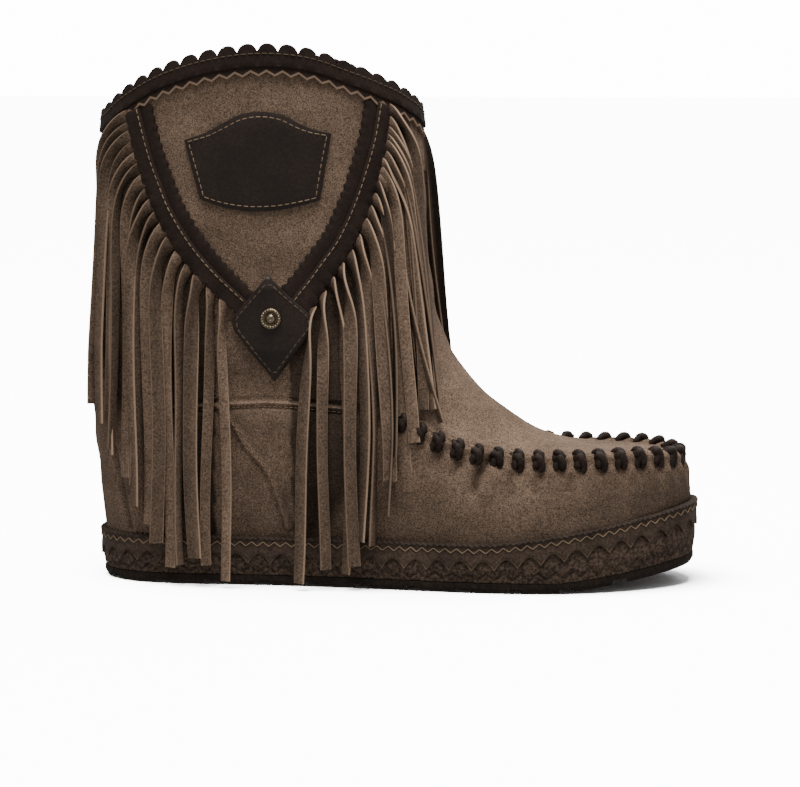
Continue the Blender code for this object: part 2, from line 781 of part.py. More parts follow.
def yoke_places(side, at, across):
    """Turns and heights at shares of the V's length, moved across it away from its inside."""
    knots, fine = np.linspace(0, 1, len(YOKE_LINE)), np.linspace(0, 1, 201)
    height = smooth(knots, column(YOKE_LINE, 1), fine) * COLLAR_HEIGHT
    turn = turn_at(smooth(knots, column(YOKE_LINE, 0), fine), height, side)
    steps = np.linalg.norm(np.diff(shaft_foot(turn, height), axis=0), axis=1)
    length = np.concatenate(([0], np.cumsum(steps)))
    length = length / length[-1]
    spread = np.clip(np.asarray(at)[:, None] + (-YOKE_ROUNDING, 0, YOKE_ROUNDING), 0, 1)
    turns, heights = np.interp(spread, length, turn), np.interp(spread, length, height)
    middle = shaft_foot(turns[:, 1], heights[:, 1])
    girth = np.linalg.norm(shaft_foot(turns[:, 1] + NUDGE, heights[:, 1]) - middle, axis=1)
    forward = (turns[:, 2] - turns[:, 0]) * girth / NUDGE * -side
    way = unit(np.column_stack((forward, heights[:, 2] - heights[:, 0])))
    return shifted(turns[:, 1], heights[:, 1], way[:, 1] * across * -side, -way[:, 0] * across)


def point_shares():
    """Shares of the V's length of the places round its point, between the two arms."""
    return np.linspace(REAR_ARM[1], FRONT_ARM[0], 5)[1:-1]


def make_yoke_trim(side, name):
    """V strip: a flat band bent round the shaft along the yoke line."""
    inner, outer = [], []
    rear, front = np.linspace(0, REAR_ARM[1], 9), np.linspace(FRONT_ARM[0], 1, 9)
    at = np.concatenate((rear, point_shares(), front))
    for share in (0.5, 0.0, -0.5):
        turn, height = yoke_places(side, at, share * YOKE_WIDTH)
        inner.append(shaft_point(turn, height, np.full(len(turn), YOKE_CLEARANCE)))
        lift = YOKE_CLEARANCE + YOKE_THICKNESS
        outer.append(shaft_point(turn, height, np.full(len(turn), lift)))
    return plate(name, np.array(inner), np.array(outer), DARK_SUEDE, side)


def shaft_plate(name, depth, height, lift, thickness, finish, side):
    """A sheet over the shaft from grids of shares of its depth, heights and lifts."""
    turn = turn_at(depth, height, side)
    inner = shaft_point(turn, height, lift)
    outer = shaft_point(turn, height, lift + thickness)
    return plate(name, inner, outer, finish, side)


def make_tab(side, name):
    """Pointed tab over the V's point, standing off where it crosses the strip."""
    down, half, clear = (column(TAB_OUTLINE, index)[::-1] for index in range(3))
    across = np.linspace(-0.5, 0.5, 4)
    depth = TAB_CENTRE + half[:, None] * across * TAB_WIDTH / COLLAR_DEPTH
    height = np.repeat((COLLAR_HEIGHT * TAB_TOP - down * TAB_HEIGHT)[:, None], 4, axis=1)
    lift = np.repeat((GAP + clear * (TAB_STANDOFF - GAP))[:, None], 4, axis=1)
    return shaft_plate(name, depth, height, lift, TAB_THICKNESS, DARK_LEATHER, side)


def make_patch(side, name):
    """Bare leather patch inside the V."""
    along, low, high = (column(PATCH_OUTLINE, index) for index in range(3))
    up = np.linspace(0, 1, 4)[:, None]
    height = COLLAR_HEIGHT * PATCH_FOOT + PATCH_HEIGHT * (low + (high - low) * up)
    depth = np.repeat((PATCH_BACK + along * PATCH_WIDTH / COLLAR_DEPTH)[None, :], 4, axis=0)
    lift = np.full(depth.shape, YOKE_CLEARANCE)
    return shaft_plate(name, depth, height, lift, PATCH_THICKNESS, DARK_LEATHER, side)


def make_concho(side, name):
    """Round stud on the tab: a turned profile."""
    height = np.array([COLLAR_HEIGHT * TAB_TOP - CONCHO_DROP])
    turn = turn_at(np.array([TAB_CENTRE]), height, side)
    lift = TAB_STANDOFF + TAB_THICKNESS + GAP
    seat = shaft_point(turn, height, np.array([lift]))[0]
    outward = unit(seat - shaft_foot(turn, height)[0])
    points = [(r * CONCHO_DIAMETER / 2, 0, h * CONCHO_THICKNESS) for r, h in CONCHO_PROFILE[::-1]]
    edges = [(n, n + 1) for n in range(len(points) - 1)]
    concho = new_object(name, points, [], AGED_METAL, edges=edges)
    turned = concho.modifiers.new("turned", "SCREW")
    turned.steps = turned.render_steps = 14
    turned.use_merge_vertices, turned.merge_threshold = True, 0.00005
    turned.use_normal_calculate = True
    concho.location = seat
    concho.rotation_euler = Vector(outward).to_track_quat("Z", "Y").to_euler()
    return concho


def section_at(level):
    """Plan of the boot's outline at a level: the sole's below, the upper's above it."""
    if level < SOLE_HEIGHT + RAND_LIP:
        return outline_plan(MAP_TURNS, 0.0)
    return shaft_foot(MAP_TURNS, level)[:, :2]


def draped(drops, outs):
    """Outward distances of a strand over a profile: straight from swell to swell, then plumb."""
    peak = int(np.argmax(outs))
    resting = [0]
    while resting[-1] < peak:
        here = resting[-1]
        ahead = np.arange(here + 1, peak + 1)
        slopes = (outs[ahead] - outs[here]) / (drops[ahead] - drops[here])
        resting.append(int(ahead[np.argmax(slopes)]))
    return np.interp(drops, drops[resting], outs[resting])


def strand_edge(turn, height, end, way):
    """Inner points of one edge of a strand, and the way out from the boot there.

    Sideways it goes by way * (1 - exp(-drop / STRAND_BEND)) along the girth, so it
    leaves the header askew and ends plumb.  Over the instep it slides off sideways.
    """
    girth = shaft_foot(turn + NUDGE, height) - shaft_foot(turn, height)
    plumb_turn = turn + way * NUDGE / np.linalg.norm(girth)
    plumb = shaft_foot(plumb_turn, height)[:2]
    along = unit(shaft_foot(plumb_turn + NUDGE, height) - shaft_foot(plumb_turn - NUDGE, height))
    side = -1 if plumb_turn < math.pi else 1
    outward = unit(along[:2])[::-1] * (1, -1)
    outward = unit(outward + (0, side * STRAND_SLIDE * max(outward[0], 0)))
    along = np.array((-outward[1], outward[0]))
    drops = np.linspace(0, height - end, 31)
    aside = -way * np.exp(-drops / STRAND_BEND)
    outs = np.empty(len(drops))
    for number, drop in enumerate(drops):
        loop = section_at(height - drop) - plumb
        facing = loop @ outward > -BALL_WIDTH / 4
        order = np.argsort(loop[facing] @ along)
        outs[number] = np.interp(
            aside[number], (loop[facing] @ along)[order], (loop[facing] @ outward)[order]
        )
    rest = min(max(drops[np.argmax(outs)], REST_DROP), (height - end) * 0.7)
    outs = draped(drops, outs) + STRAND_STANDOFF * (1 - np.exp(-drops / BEND_DROPS[-1]))
    rows = np.array([*BEND_DROPS, rest, height - end])
    away, out = np.interp(rows, drops, aside), np.interp(rows, drops, outs) + YOKE_CLEARANCE
    plans = plumb + away[:, None] * along + out[:, None] * outward
    return np.column_stack((plans, height - rows)), np.append(outward, 0.0)


def make_fringe(side, name):
    """Header strip along the V's outer edge with the strands of both arms fused to it."""
    at, strands = [], []
    for (first, last), table in ((REAR_ARM, REAR_STRANDS), (FRONT_ARM, FRONT_STRANDS[::-1])):
        cells = np.linspace(first, last, len(table) + 1)
        slit = STRAND_GAP / 2 / YOKE_LENGTH
        for start, stop, (end, reach) in zip(cells, cells[1:], table):
            strands.append((len(at), end * COLLAR_HEIGHT, reach * STRAND_REACH))
            at += [start + slit, stop - slit]
        if table is REAR_STRANDS:
            at += list(point_shares())
    at = np.array(at)
    rear = len(REAR_STRANDS) * 2
    vertices, rails = [], []
    for across in (YOKE_WIDTH / 2 + GAP, YOKE_WIDTH / 2 + GAP + HEADER_WIDTH):
        turn, height = yoke_places(side, at, across)
        for lift in (YOKE_CLEARANCE, YOKE_CLEARANCE + STRAND_THICKNESS):
            rails.append(list(range(len(vertices), len(vertices) + len(at))))
            vertices += list(shaft_point(turn, height, np.full(len(at), lift)))
    top_in, top_out, low_in, low_out = rails
    stranded = {first for first, _, _ in strands}
    faces = [(top_in[0], top_out[0], low_out[0], low_in[0])]
    faces.append((top_in[-1], low_in[-1], low_out[-1], top_out[-1]))
    for a in range(len(at) - 1):
        b = a + 1
        faces.append((top_out[a], top_out[b], low_out[b], low_out[a]))
        faces.append((top_in[b], top_in[a], low_in[a], low_in[b]))
        faces.append((top_in[a], top_in[b], top_out[b], top_out[a]))
        if a not in stranded:
            faces.append((low_out[a], low_out[b], low_in[b], low_in[a]))
    for first, end, reach in strands:
        away = reach * (-1 if first < rear else 1) * -side
        corners = [(low_in[first], low_out[first]), (low_in[first + 1], low_out[first + 1])]
        lines = []
        for edge, (inner, outer) in zip((first, first + 1), corners):
            points, outward = strand_edge(turn[edge], height[edge], end, away)
            lines.append([(inner, outer)])
            for point in points:
                lines[-1].append((len(vertices), len(vertices) + 1))
                vertices += [point, point + outward * STRAND_THICKNESS]
        left, right = lines
        for row in range(len(left) - 1):
            (a, b), (c, d) = left[row], left[row + 1]
            (e, f), (g, h) = right[row], right[row + 1]
            faces += [(b, f, h, d), (e, a, c, g), (a, b, d, c), (f, e, g, h)]
        faces.append((left[-1][0], left[-1][1], right[-1][1], right[-1][0]))
    if side < 0:
        faces = [face[::-1] for face in faces]
    return new_object(name, vertices, faces, DARK_SUEDE)


def lace_stations():
    """Turns of the lace's rings along the seam, and which of them are wide."""
    start = math.acos(1 - 2 * LACE_START)
    fine = np.linspace(start, 2 * math.pi - start, 401)
    seam = upper_surface(fine, [SEAM_SECTION])[0]
    length = np.concatenate(([0], np.cumsum(np.linalg.norm(np.diff(seam, axis=0), axis=1))))
    stitches = round(length[-1] / LACE_PITCH)
    centres = (np.arange(stitches) + 0.5) * length[-1] / stitches
    half = LACE_WIDTH / 2
    edges = (-half, half, LACE_PITCH / 2)
    at = (centres[:, None] + edges).ravel()
    wide = np.tile((True, True, False), stitches)
    return np.interp(at[:-1], length, fine), wide[:-1]


def make_apron_lace(outer_face):
    """Whipped lace: one solid along the seam's ridge, wide at each stitch, thin between."""
    turns, wide = lace_stations()
    rows = np.linspace(SEAM_SECTION - 3.0, SEAM_SECTION + 2.0, 101)
    profiles = upper_surface(turns, rows)
    vertices = []
    for number, turn in enumerate(turns):
        profile = profiles[:, number]
        length = np.concatenate(([0], np.cumsum(np.linalg.norm(np.diff(profile, axis=0), axis=1))))
        seam = np.interp(SEAM_SECTION, rows, length)
        down, up = (LACE_DOWN, LACE_UP) if wide[number] else (LACE_CORE, LACE_CORE)
        lifts = (LACE_HEM, LACE_THICKNESS, LACE_HEM) if wide[number] else (LACE_CORE,) * 3
        inner, outer = [], []
        for place, lift in zip((seam - down, seam, seam + up), lifts):
            at = [float(np.interp(place, length, profile[:, axis])) for axis in range(3)]
            spot, normal, _, _ = outer_face.find_nearest(Vector(at))
            inner.append(np.array(spot + normal * LACE_CLEARANCE))
            outer.append(np.array(spot + normal * (LACE_CLEARANCE + lift)))
        vertices += inner + outer[::-1]
    rings, around = len(turns), 6
    faces = [tuple(range(around))[::-1], tuple(range((rings - 1) * around, rings * around))]
    for ring in range(rings - 1):
        for a in range(around):
            b = (a + 1) % around
            low, high = ring * around, (ring + 1) * around
            faces.append((low + a, low + b, high + b, high + a))
    return new_object("apron_lace", vertices, faces, DARK_LEATHER)


def clear_scene():
    for old in list(bpy.data.objects):
        bpy.data.objects.remove(old)
    for name in ("fringe_boot", "cutters"):
        made = bpy.data.collections.new(name)
        bpy.context.scene.collection.children.link(made)


def main():
    clear_scene()
    make_outsole()
    make_midsole()
    make_rand()
    make_insole()
    outer_face = make_upper()
    make_apron_lace(outer_face)
    make_collar_band()
    for side, word in ((-1, "lateral"), (1, "medial")):
        make_yoke_trim(side, f"yoke_trim_{word}")
        make_fringe(side, f"fringe_{word}")
        make_tab(side, f"yoke_tab_{word}")
        make_concho(side, f"concho_{word}")
        make_patch(side, f"shaft_patch_{word}")


SHAFT_MAP = shaft_map()
main()
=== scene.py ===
"""Fringe boot: the dressed model over its CAD frame.

Metres, +Z up, +X towards the toe, -Y the outer side.  Surfaces are worked out from the
boot's own sizes; a place round the boot is a turn, 0 at the back and pi at the front.
"""

import math

import bpy
import numpy as np
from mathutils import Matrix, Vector


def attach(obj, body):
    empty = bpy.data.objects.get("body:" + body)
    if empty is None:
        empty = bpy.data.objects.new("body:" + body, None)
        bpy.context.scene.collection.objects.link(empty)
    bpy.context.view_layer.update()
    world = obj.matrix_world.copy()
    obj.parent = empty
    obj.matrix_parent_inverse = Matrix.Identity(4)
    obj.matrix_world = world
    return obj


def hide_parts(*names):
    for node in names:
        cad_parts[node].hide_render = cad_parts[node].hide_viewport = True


bl_info = {
    "name": "Fringe boot",
    "version": (1, 0, 0),
    "blender": (4, 5, 0),
    "location": "View3D > Sidebar > Boot",
    "description": "Dresses the fringe boot's frame with suede, lace, fringe and stitching",
    "category": "Object",
}

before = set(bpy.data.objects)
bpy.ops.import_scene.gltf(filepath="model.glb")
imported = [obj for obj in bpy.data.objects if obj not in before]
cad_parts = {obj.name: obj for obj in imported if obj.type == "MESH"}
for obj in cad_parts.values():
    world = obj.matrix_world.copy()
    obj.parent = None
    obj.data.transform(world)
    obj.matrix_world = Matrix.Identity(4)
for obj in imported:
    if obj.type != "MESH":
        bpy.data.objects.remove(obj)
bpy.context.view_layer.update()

# Form of the boot
SOLE_LENGTH = 0.270
BALL_WIDTH = 0.102
SOLE_HEIGHT = 0.0205
TREAD_HEIGHT = 0.0042
TOE_SPRING = 0.0092
TOE_RISE = 0.0155
SPRING_START = 0.778
RISE_START = 0.655
LEDGE_HEEL = 0.0018
LEDGE_TOE = 0.0040
FOOT_LIP = 0.0014
SIDE_BULGE = 0.0030
COUNTER_HEIGHT = 0.0810
SEAM_WIDTH = 0.0900
SEAM_BACK_OVERHANG = 0.0042
SEAM_FRONT_SETBACK = 0.0075
SEAM_RIDGE = 0.0014
COLLAR_HEIGHT = 0.2362
COLLAR_DEPTH = 0.1412
COLLAR_WIDTH = 0.0980
COLLAR_BACK_SETBACK = 0.0034
COLLAR_MEDIAL_DROP = 0.0055
RAND_DEPTH = 0.0090
RAND_NOTCH = 0.0034
RAND_LIP = 0.0010
RAND_THICKNESS = 0.0012

# Share of the sole's length, half widths of its two sides as shares of half the ball width.
OUTLINE = (
    (0.030, 0.44, 0.44),
    (0.080, 0.63, 0.63),
    (0.150, 0.70, 0.70),
    (0.270, 0.715, 0.69),
    (0.400, 0.775, 0.68),
    (0.520, 0.875, 0.765),
    (0.620, 0.965, 0.900),
    (0.700, 1.000, 0.975),
    (0.790, 0.960, 0.985),
    (0.870, 0.820, 0.885),
    (0.935, 0.600, 0.690),
    (0.980, 0.345, 0.420),
)

# Seam between lower boot and apron: share of its length, half width, height.
SEAM_LINE = (
    (0.000, 0.000, 0.965),
    (0.100, 0.700, 0.982),
    (0.250, 0.885, 1.000),
    (0.380, 0.960, 1.008),
    (0.490, 0.995, 0.990),
    (0.545, 0.995, 0.926),
    (0.600, 0.972, 0.832),
    (0.660, 0.930, 0.763),
    (0.740, 0.855, 0.722),
    (0.820, 0.770, 0.716),
    (0.900, 0.640, 0.722),
    (0.960, 0.440, 0.722),
    (1.000, 0.000, 0.702),
)

# Collar edge: share of the shaft's depth, height as a share of its peak.
COLLAR_LINE = (
    (0.000, 0.872),
    (0.012, 0.876),
    (0.098, 0.916),
    (0.203, 0.953),
    (0.325, 0.980),
    (0.448, 0.996),
    (0.561, 1.001),
    (0.704, 0.990),
    (0.806, 0.966),
    (0.888, 0.944),
    (0.958, 0.918),
    (0.990, 0.899),
    (1.000, 0.888),
)

# Sections between sole and seam: share of the way up, share of the bulge.
WALL_SECTIONS = ((0.22, 0.55), (0.50, 1.00), (0.80, 0.80))

# Sections between seam and collar: front's and back's way, front's and back's rise, girth,
# how much the front is drawn in.
SHAFT_SECTIONS = (
    (0.030, 0.00, 0.003, 0.022, 0.998, 0.000),
    (0.133, 0.00, 0.006, 0.055, 0.990, 0.040),
    (0.341, 0.00, 0.020, 0.120, 0.985, 0.110),
    (0.573, 0.09, 0.072, 0.200, 0.980, 0.150),
    (0.775, 0.33, 0.174, 0.320, 0.965, 0.140),
    (0.908, 0.60, 0.312, 0.430, 0.960, 0.080),
    (0.963, 0.74, 0.550, 0.600, 0.970, 0.030),
    (0.976, 0.79, 0.802, 0.815, 0.985, 0.000),
)

# Middle of the V strip: share of the shaft's depth, height as a share of the peak.
YOKE_LINE = (
    (0.149, 0.896),
    (0.183, 0.817),
    (0.215, 0.762),
    (0.253, 0.707),
    (0.313, 0.648),
    (0.384, 0.597),
    (0.474, 0.546),
    (0.571, 0.496),
    (0.664, 0.559),
    (0.719, 0.605),
    (0.776, 0.656),
    (0.822, 0.720),
    (0.855, 0.783),
    (0.878, 0.838),
    (0.894, 0.906),
)

# Edges of the patch and of the tab on the shaft's side: x and height in metres.
PATCH_TOP = (
    (-0.0889, 0.1980),
    (-0.0800, 0.2010),
    (-0.0730, 0.2046),
    (-0.0640, 0.2092),
    (-0.0549, 0.2106),
    (-0.0460, 0.2092),
    (-0.0381, 0.2052),
    (-0.0320, 0.2026),
    (-0.0250, 0.2010),
)
PATCH_FOOT = (
    (-0.0822, 0.1722),
    (-0.0760, 0.1700),
    (-0.0690, 0.1682),
    (-0.0611, 0.1671),
    (-0.0560, 0.1670),
    (-0.0500, 0.1673),
    (-0.0450, 0.1680),
    (-0.0370, 0.1698),
    (-0.0299, 0.1718),
)

# Tab: height, x of its middle, half width, in metres.
TAB_ROWS = (
    (0.0923, -0.0496, 0.0003),
    (0.0960, -0.0496, 0.0028),
    (0.1020, -0.0497, 0.0074),
    (0.1090, -0.0499, 0.0126),
    (0.1140, -0.0500, 0.0164),
    (0.1158, -0.0501, 0.0173),
    (0.1196, -0.0503, 0.0174),
    (0.1214, -0.0505, 0.0163),
    (0.1270, -0.0512, 0.0108),
    (0.1330, -0.0518, 0.0052),
    (0.1368, -0.0522, 0.0018),
    (0.1384, -0.0523, 0.0003),
)

# Creases and raised seams of the outer side: depth (a ridge if positive), width, then
# points of x and height, all in metres.
CREASES = (
    (-0.0036, 0.0014, ((0.0480, 0.0606), (0.0440, 0.0568), (0.0401, 0.0515), (0.0379, 0.0409))),
    (0.0016, 0.0030, ((0.0520, 0.0580), (0.0485, 0.0530), (0.0450, 0.0470), (0.0430, 0.0380))),
    (-0.0016, 0.0022, ((0.0560, 0.0530), (0.0545, 0.0470), (0.0550, 0.0400))),
    (-0.0013, 0.0020, ((0.0345, 0.0590), (0.0310, 0.0550), (0.0275, 0.0500))),
    (-0.0010, 0.0022, ((0.0230, 0.0630), (0.0205, 0.0580), (0.0185, 0.0520))),
    (-0.0012, 0.0020, ((0.0680, 0.0520), (0.0660, 0.0470), (0.0662, 0.0420))),
    (-0.0010, 0.0022, ((0.0820, 0.0510), (0.0810, 0.0470), (0.0820, 0.0430))),
    (-0.0009, 0.0060, ((0.0080, 0.1060), (0.0160, 0.0960), (0.0260, 0.0900))),
    (-0.0008, 0.0050, ((-0.0050, 0.0900), (0.0080, 0.0840), (0.0200, 0.0790))),
)
SEAM_RIDGES = (
    (0.0009, 0.0009, ((-0.0960, 0.0790), (-0.0736, 0.0811), (-0.0536, 0.0824), (-0.0425, 0.0821),
                      (-0.0354, 0.0815), (-0.0150, 0.0800))),
    (0.0011, 0.0009, ((-0.0760, 0.0800), (-0.0739, 0.0787), (-0.0677, 0.0712), (-0.0620, 0.0619),
                      (-0.0562, 0.0558), (-0.0522, 0.0501), (-0.0487, 0.0394), (-0.0447, 0.0262))),
)
HEEL_SEAM = ((-0.1290, 0.0780), (-0.1244, 0.0540), (-0.1213, 0.0410), (-0.1178, 0.0240))

# Strands of each arm from its top to the tab: share along the arm, end height in metres,
# sideways reach, twist at the end in degrees, tint, how far its end swings forward.
REAR_STRANDS = (
    (0.00, 0.092, 0.0190, 20, 0.4, -0.0034),
    (0.05, 0.079, 0.0180, 62, -0.3, -0.0030),
    (0.10, 0.071, 0.0165, 12, 0.6, -0.0024),
    (0.15, 0.069, 0.0150, 50, -0.2, -0.0018),
    (0.20, 0.057, 0.0140, 20, 0.5, -0.0010),
    (0.25, 0.060, 0.0130, 70, -0.4, -0.0006),
    (0.31, 0.047, 0.0120, 12, 0.6, 0.0),
    (0.37, 0.044, 0.0110, 55, -0.3, 0.0),
    (0.43, 0.035, 0.0105, 16, 0.5, 0.0),
    (0.49, 0.033, 0.0100, 66, -0.4, 0.0),
    (0.55, 0.027, 0.0095, 10, 0.6, 0.0),
    (0.62, 0.019, 0.0085, 30, 0.2, 0.0),
    (0.69, 0.008, 0.0080, 12, 0.5, 0.0),
    (0.76, 0.0095, 0.0056, 60, -0.2, 0.0),
    (0.83, 0.013, 0.0040, 12, 0.4, 0.0),
    (0.90, 0.0095, 0.0024, 26, 0.2, 0.0),
    (0.98, 0.003, 0.0004, 4, 0.6, 0.001),
)
FRONT_STRANDS = (
    (0.00, 0.083, 0.0125, 30, 0.4, 0.004),
    (0.05, 0.081, 0.0115, 15, 0.6, 0.002),
    (0.10, 0.084, 0.0100, 62, -0.3, 0.0),
    (0.15, 0.080, 0.0090, 20, 0.5, 0.0),
    (0.21, 0.085, 0.0080, 50, -0.1, 0.0),
    (0.27, 0.066, 0.0075, 12, 0.5, 0.0),
    (0.33, 0.060, 0.0070, 66, -0.4, 0.0),
    (0.39, 0.044, 0.0065, 22, 0.5, 0.0),
    (0.45, 0.034, 0.0060, 60, -0.2, 0.0),
    (0.51, 0.049, 0.0055, 14, 0.6, 0.0),
    (0.58, 0.020, 0.0050, 24, 0.3, 0.0),
    (0.65, 0.022, 0.0048, 68, -0.3, 0.0),
    (0.72, 0.011, 0.0044, 12, 0.5, 0.0),
    (0.79, 0.007, 0.0040, 40, 0.1, 0.0),
    (0.86, 0.009, 0.0026, 10, 0.5, -0.0020),
    (0.94, 0.003, 0.0012, 30, 0.5, -0.0050),
    (0.30, 0.0745, 0.0120, 84, 0.8, 0.011),
    (0.24, 0.0800, 0.0125, 78, 0.7, 0.006),
    (0.12, 0.0790, 0.0110, 74, 0.6, 0.004),
)
# Height under which the skin is free of strands and of their painted shade, over x, in metres.
FRINGE_ENDS = (
    (-0.135, 0.100),
    (-0.120, 0.065),
    (-0.105, 0.036),
    (-0.090, 0.018),
    (-0.078, 0.010),
    (-0.074, 0.300),
    (-0.046, 0.300),
    (-0.042, 0.010),
    (-0.028, 0.018),
    (-0.012, 0.045),
    (0.004, 0.080),
    (0.010, 0.300),
)
REAR_ARM = (0.004, 0.415)
FRONT_ARM = (0.560, 0.996)

HEEL_X = -SOLE_LENGTH / 2
SEAM_BACK = HEEL_X - SEAM_BACK_OVERHANG
SEAM_FRONT = HEEL_X + SOLE_LENGTH - SEAM_FRONT_SETBACK
COLLAR_BACK = HEEL_X + COLLAR_BACK_SETBACK
COLLAR_FRONT = COLLAR_BACK + COLLAR_DEPTH
SEAM_SECTION = len(WALL_SECTIONS) + 2
LAST_SECTION = SEAM_SECTION + len(SHAFT_SECTIONS) + 1
NUDGE = 0.01
MAP_TURNS = np.linspace(0, 2 * math.pi, 721)
MAP_HEIGHTS = np.linspace(SOLE_HEIGHT, COLLAR_HEIGHT + 0.014, 231)
SEED = 7


# The boot's surfaces


def column(table, index):
    return np.array([row[index] for row in table], float)


def unit(vectors):
    return vectors / np.maximum(np.linalg.norm(vectors, axis=-1, keepdims=True), 1e-12)


def smooth(knots, values, at):
    """Cubic curve through the values, with each slope taken from the two neighbours."""
    knots, values = np.asarray(knots, float), np.asarray(values, float)
    at = np.clip(np.asarray(at, float), knots[0], knots[-1])
    step = np.diff(knots)
    rate = np.diff(values) / step
    slope = np.empty_like(values)
    slope[1:-1] = (rate[:-1] * step[1:] + rate[1:] * step[:-1]) / (step[:-1] + step[1:])
    slope[0], slope[-1] = rate[0], rate[-1]
    low = np.clip(np.searchsorted(knots, at, side="right") - 1, 0, len(step) - 1)
    span = step[low]
    part = (at - knots[low]) / span
    start = (2 * part**3 - 3 * part**2 + 1) * values[low]
    end = (3 * part**2 - 2 * part**3) * values[low + 1]
    lean = (part**3 - 2 * part**2 + part) * slope[low] + (part**3 - part**2) * slope[low + 1]
    return start + end + lean * span


def share_of(turn):
    return (1 - np.cos(turn)) / 2


def side_of(turn):
    across = np.sin(turn)
    return np.where(across > 1e-9, -1.0, np.where(across < -1e-9, 1.0, 0.0))


def loop_turns(columns):
    return 2 * math.pi * np.arange(columns) / columns


def round_ended(shares, widths, at):
    """Half width along a closed outline whose two ends are round."""
    turn = np.arccos(1 - 2 * np.asarray(shares, float))
    knots = np.concatenate(([-turn[0], 0], turn, [math.pi, 2 * math.pi - turn[-1]]))
    values = np.concatenate(([-widths[0], 0], widths, [0, -widths[-1]]))
    return smooth(knots, values, np.arccos(1 - 2 * np.clip(at, 0, 1)))


def outline_point(turn):
    share, side = share_of(turn), side_of(turn)
    lateral = round_ended(column(OUTLINE, 0), column(OUTLINE, 1), share)
    medial = round_ended(column(OUTLINE, 0), column(OUTLINE, 2), share)
    half = np.where(side < 0, lateral, medial) * BALL_WIDTH / 2
    return np.stack((HEEL_X + SOLE_LENGTH * share, side * half), axis=-1)


def outline_plan(turn, inset=0.0):
    """Points of the sole's outline in plan, moved inwards by the inset."""
    along = unit(outline_point(turn + NUDGE) - outline_point(turn - NUDGE))
    inward = np.stack((-along[..., 1], along[..., 0]), axis=-1)
    return outline_point(turn) + inward * np.reshape(inset, (-1, 1))


def ground_line(x):
    share = (np.asarray(x) - HEEL_X) / SOLE_LENGTH
    sprung = np.clip((share - SPRING_START) / (1 - SPRING_START), 0, 1)
    return TOE_SPRING * sprung**1.25


def sole_top(x):
    share = (np.asarray(x) - HEEL_X) / SOLE_LENGTH
    risen = np.clip((share - RISE_START) / (1 - RISE_START), 0, 1)
    return SOLE_HEIGHT + TOE_RISE * risen**1.32


def feather_line(turn):
    """Lower edge of the upper, on the sole's top."""
    plan = outline_plan(turn, LEDGE_HEEL + (LEDGE_TOE - LEDGE_HEEL) * share_of(turn))
    return np.column_stack((plan, sole_top(plan[:, 0]) + 0.0003))


def seam_height(x):
    share = (x - SEAM_BACK) / (SEAM_FRONT - SEAM_BACK)
    return smooth(column(SEAM_LINE, 0), column(SEAM_LINE, 2), share) * COUNTER_HEIGHT


def seam_line(turn):
    share = share_of(turn)
    inner = SEAM_LINE[1:-1]
    half = round_ended(column(inner, 0), column(inner, 1), share) * SEAM_WIDTH / 2
    x = SEAM_BACK + (SEAM_FRONT - SEAM_BACK) * share
    return np.column_stack((x, side_of(turn) * half, seam_height(x)))


def collar_line(turn):
    share, side = share_of(turn), side_of(turn)
    across = np.abs(np.sin(turn))
    half = across ** (0.92 + 0.23 * share) * COLLAR_WIDTH / 2
    height = smooth(column(COLLAR_LINE, 0), column(COLLAR_LINE, 1), share) * COLLAR_HEIGHT
    height = height - np.where(side > 0, across**0.45 * COLLAR_MEDIAL_DROP, 0.0)
    return np.column_stack((COLLAR_BACK + COLLAR_DEPTH * share, side * half, height))


def upper_sections(turn):
    """Points of the upper's sections at the turns, from the sole to the collar."""
    share = share_of(turn)
    feather, seam, collar = feather_line(turn), seam_line(turn), collar_line(turn)
    outward = np.abs(np.sin(turn)) ** 1.5 * SIDE_BULGE
    sections = [feather, feather + (0.0, 0.0, FOOT_LIP)]
    for way_up, bulge in WALL_SECTIONS:
        section = feather + (seam - feather) * way_up
        section[:, 1] += side_of(turn) * outward * bulge
        sections.append(section)
    sections.append(seam)
    for front_back, heel_in, rise_front, rise_back, girth, drawn_in in SHAFT_SECTIONS:
        back = SEAM_BACK + (COLLAR_BACK - SEAM_BACK) * heel_in
        front = SEAM_FRONT + (COLLAR_FRONT - SEAM_FRONT) * front_back
        rise = rise_back + (rise_front - rise_back) * share
        half = seam[:, 1] + (collar[:, 1] - seam[:, 1]) * rise
        half = half * girth * (1 - drawn_in * share**4)
        x = back + (front - back) * share
        height = seam_height(x) + (collar[:, 2] - seam_height(x)) * rise
        sections.append(np.column_stack((x, half, height)))
    sections.append(collar)
    return np.array(sections)


def plain_upper(turn, rows):
    """Grid of points of the outer face; rows are section numbers."""
    sections = upper_sections(turn)
    knots = np.arange(len(sections), dtype=float)
    flat = sections.reshape(len(sections), -1)
    grid = np.stack([smooth(knots, line, rows) for line in flat.T], axis=1)
    return grid.reshape(len(rows), len(turn), 3)


def shaft_map():
    """Plan points of the outer face on an even grid of turns and heights."""
    rows = np.linspace(1.0, LAST_SECTION, 12 * (LAST_SECTION - 1) + 1)
    lines = plain_upper(MAP_TURNS, rows)
    plans = np.empty((len(MAP_TURNS), len(MAP_HEIGHTS), 2))
    for number in range(len(MAP_TURNS)):
        line = lines[:, number]
        slope = (line[-1] - line[-7])[:2] / (line[-1] - line[-7])[2]
        above = np.clip(MAP_HEIGHTS - line[-1, 2], 0, None)
        for axis in (0, 1):
            level = np.interp(MAP_HEIGHTS, line[:, 2], line[:, axis])
            plans[number, :, axis] = level + above * slope[axis]
    return plans


SHAFT_MAP = shaft_map()


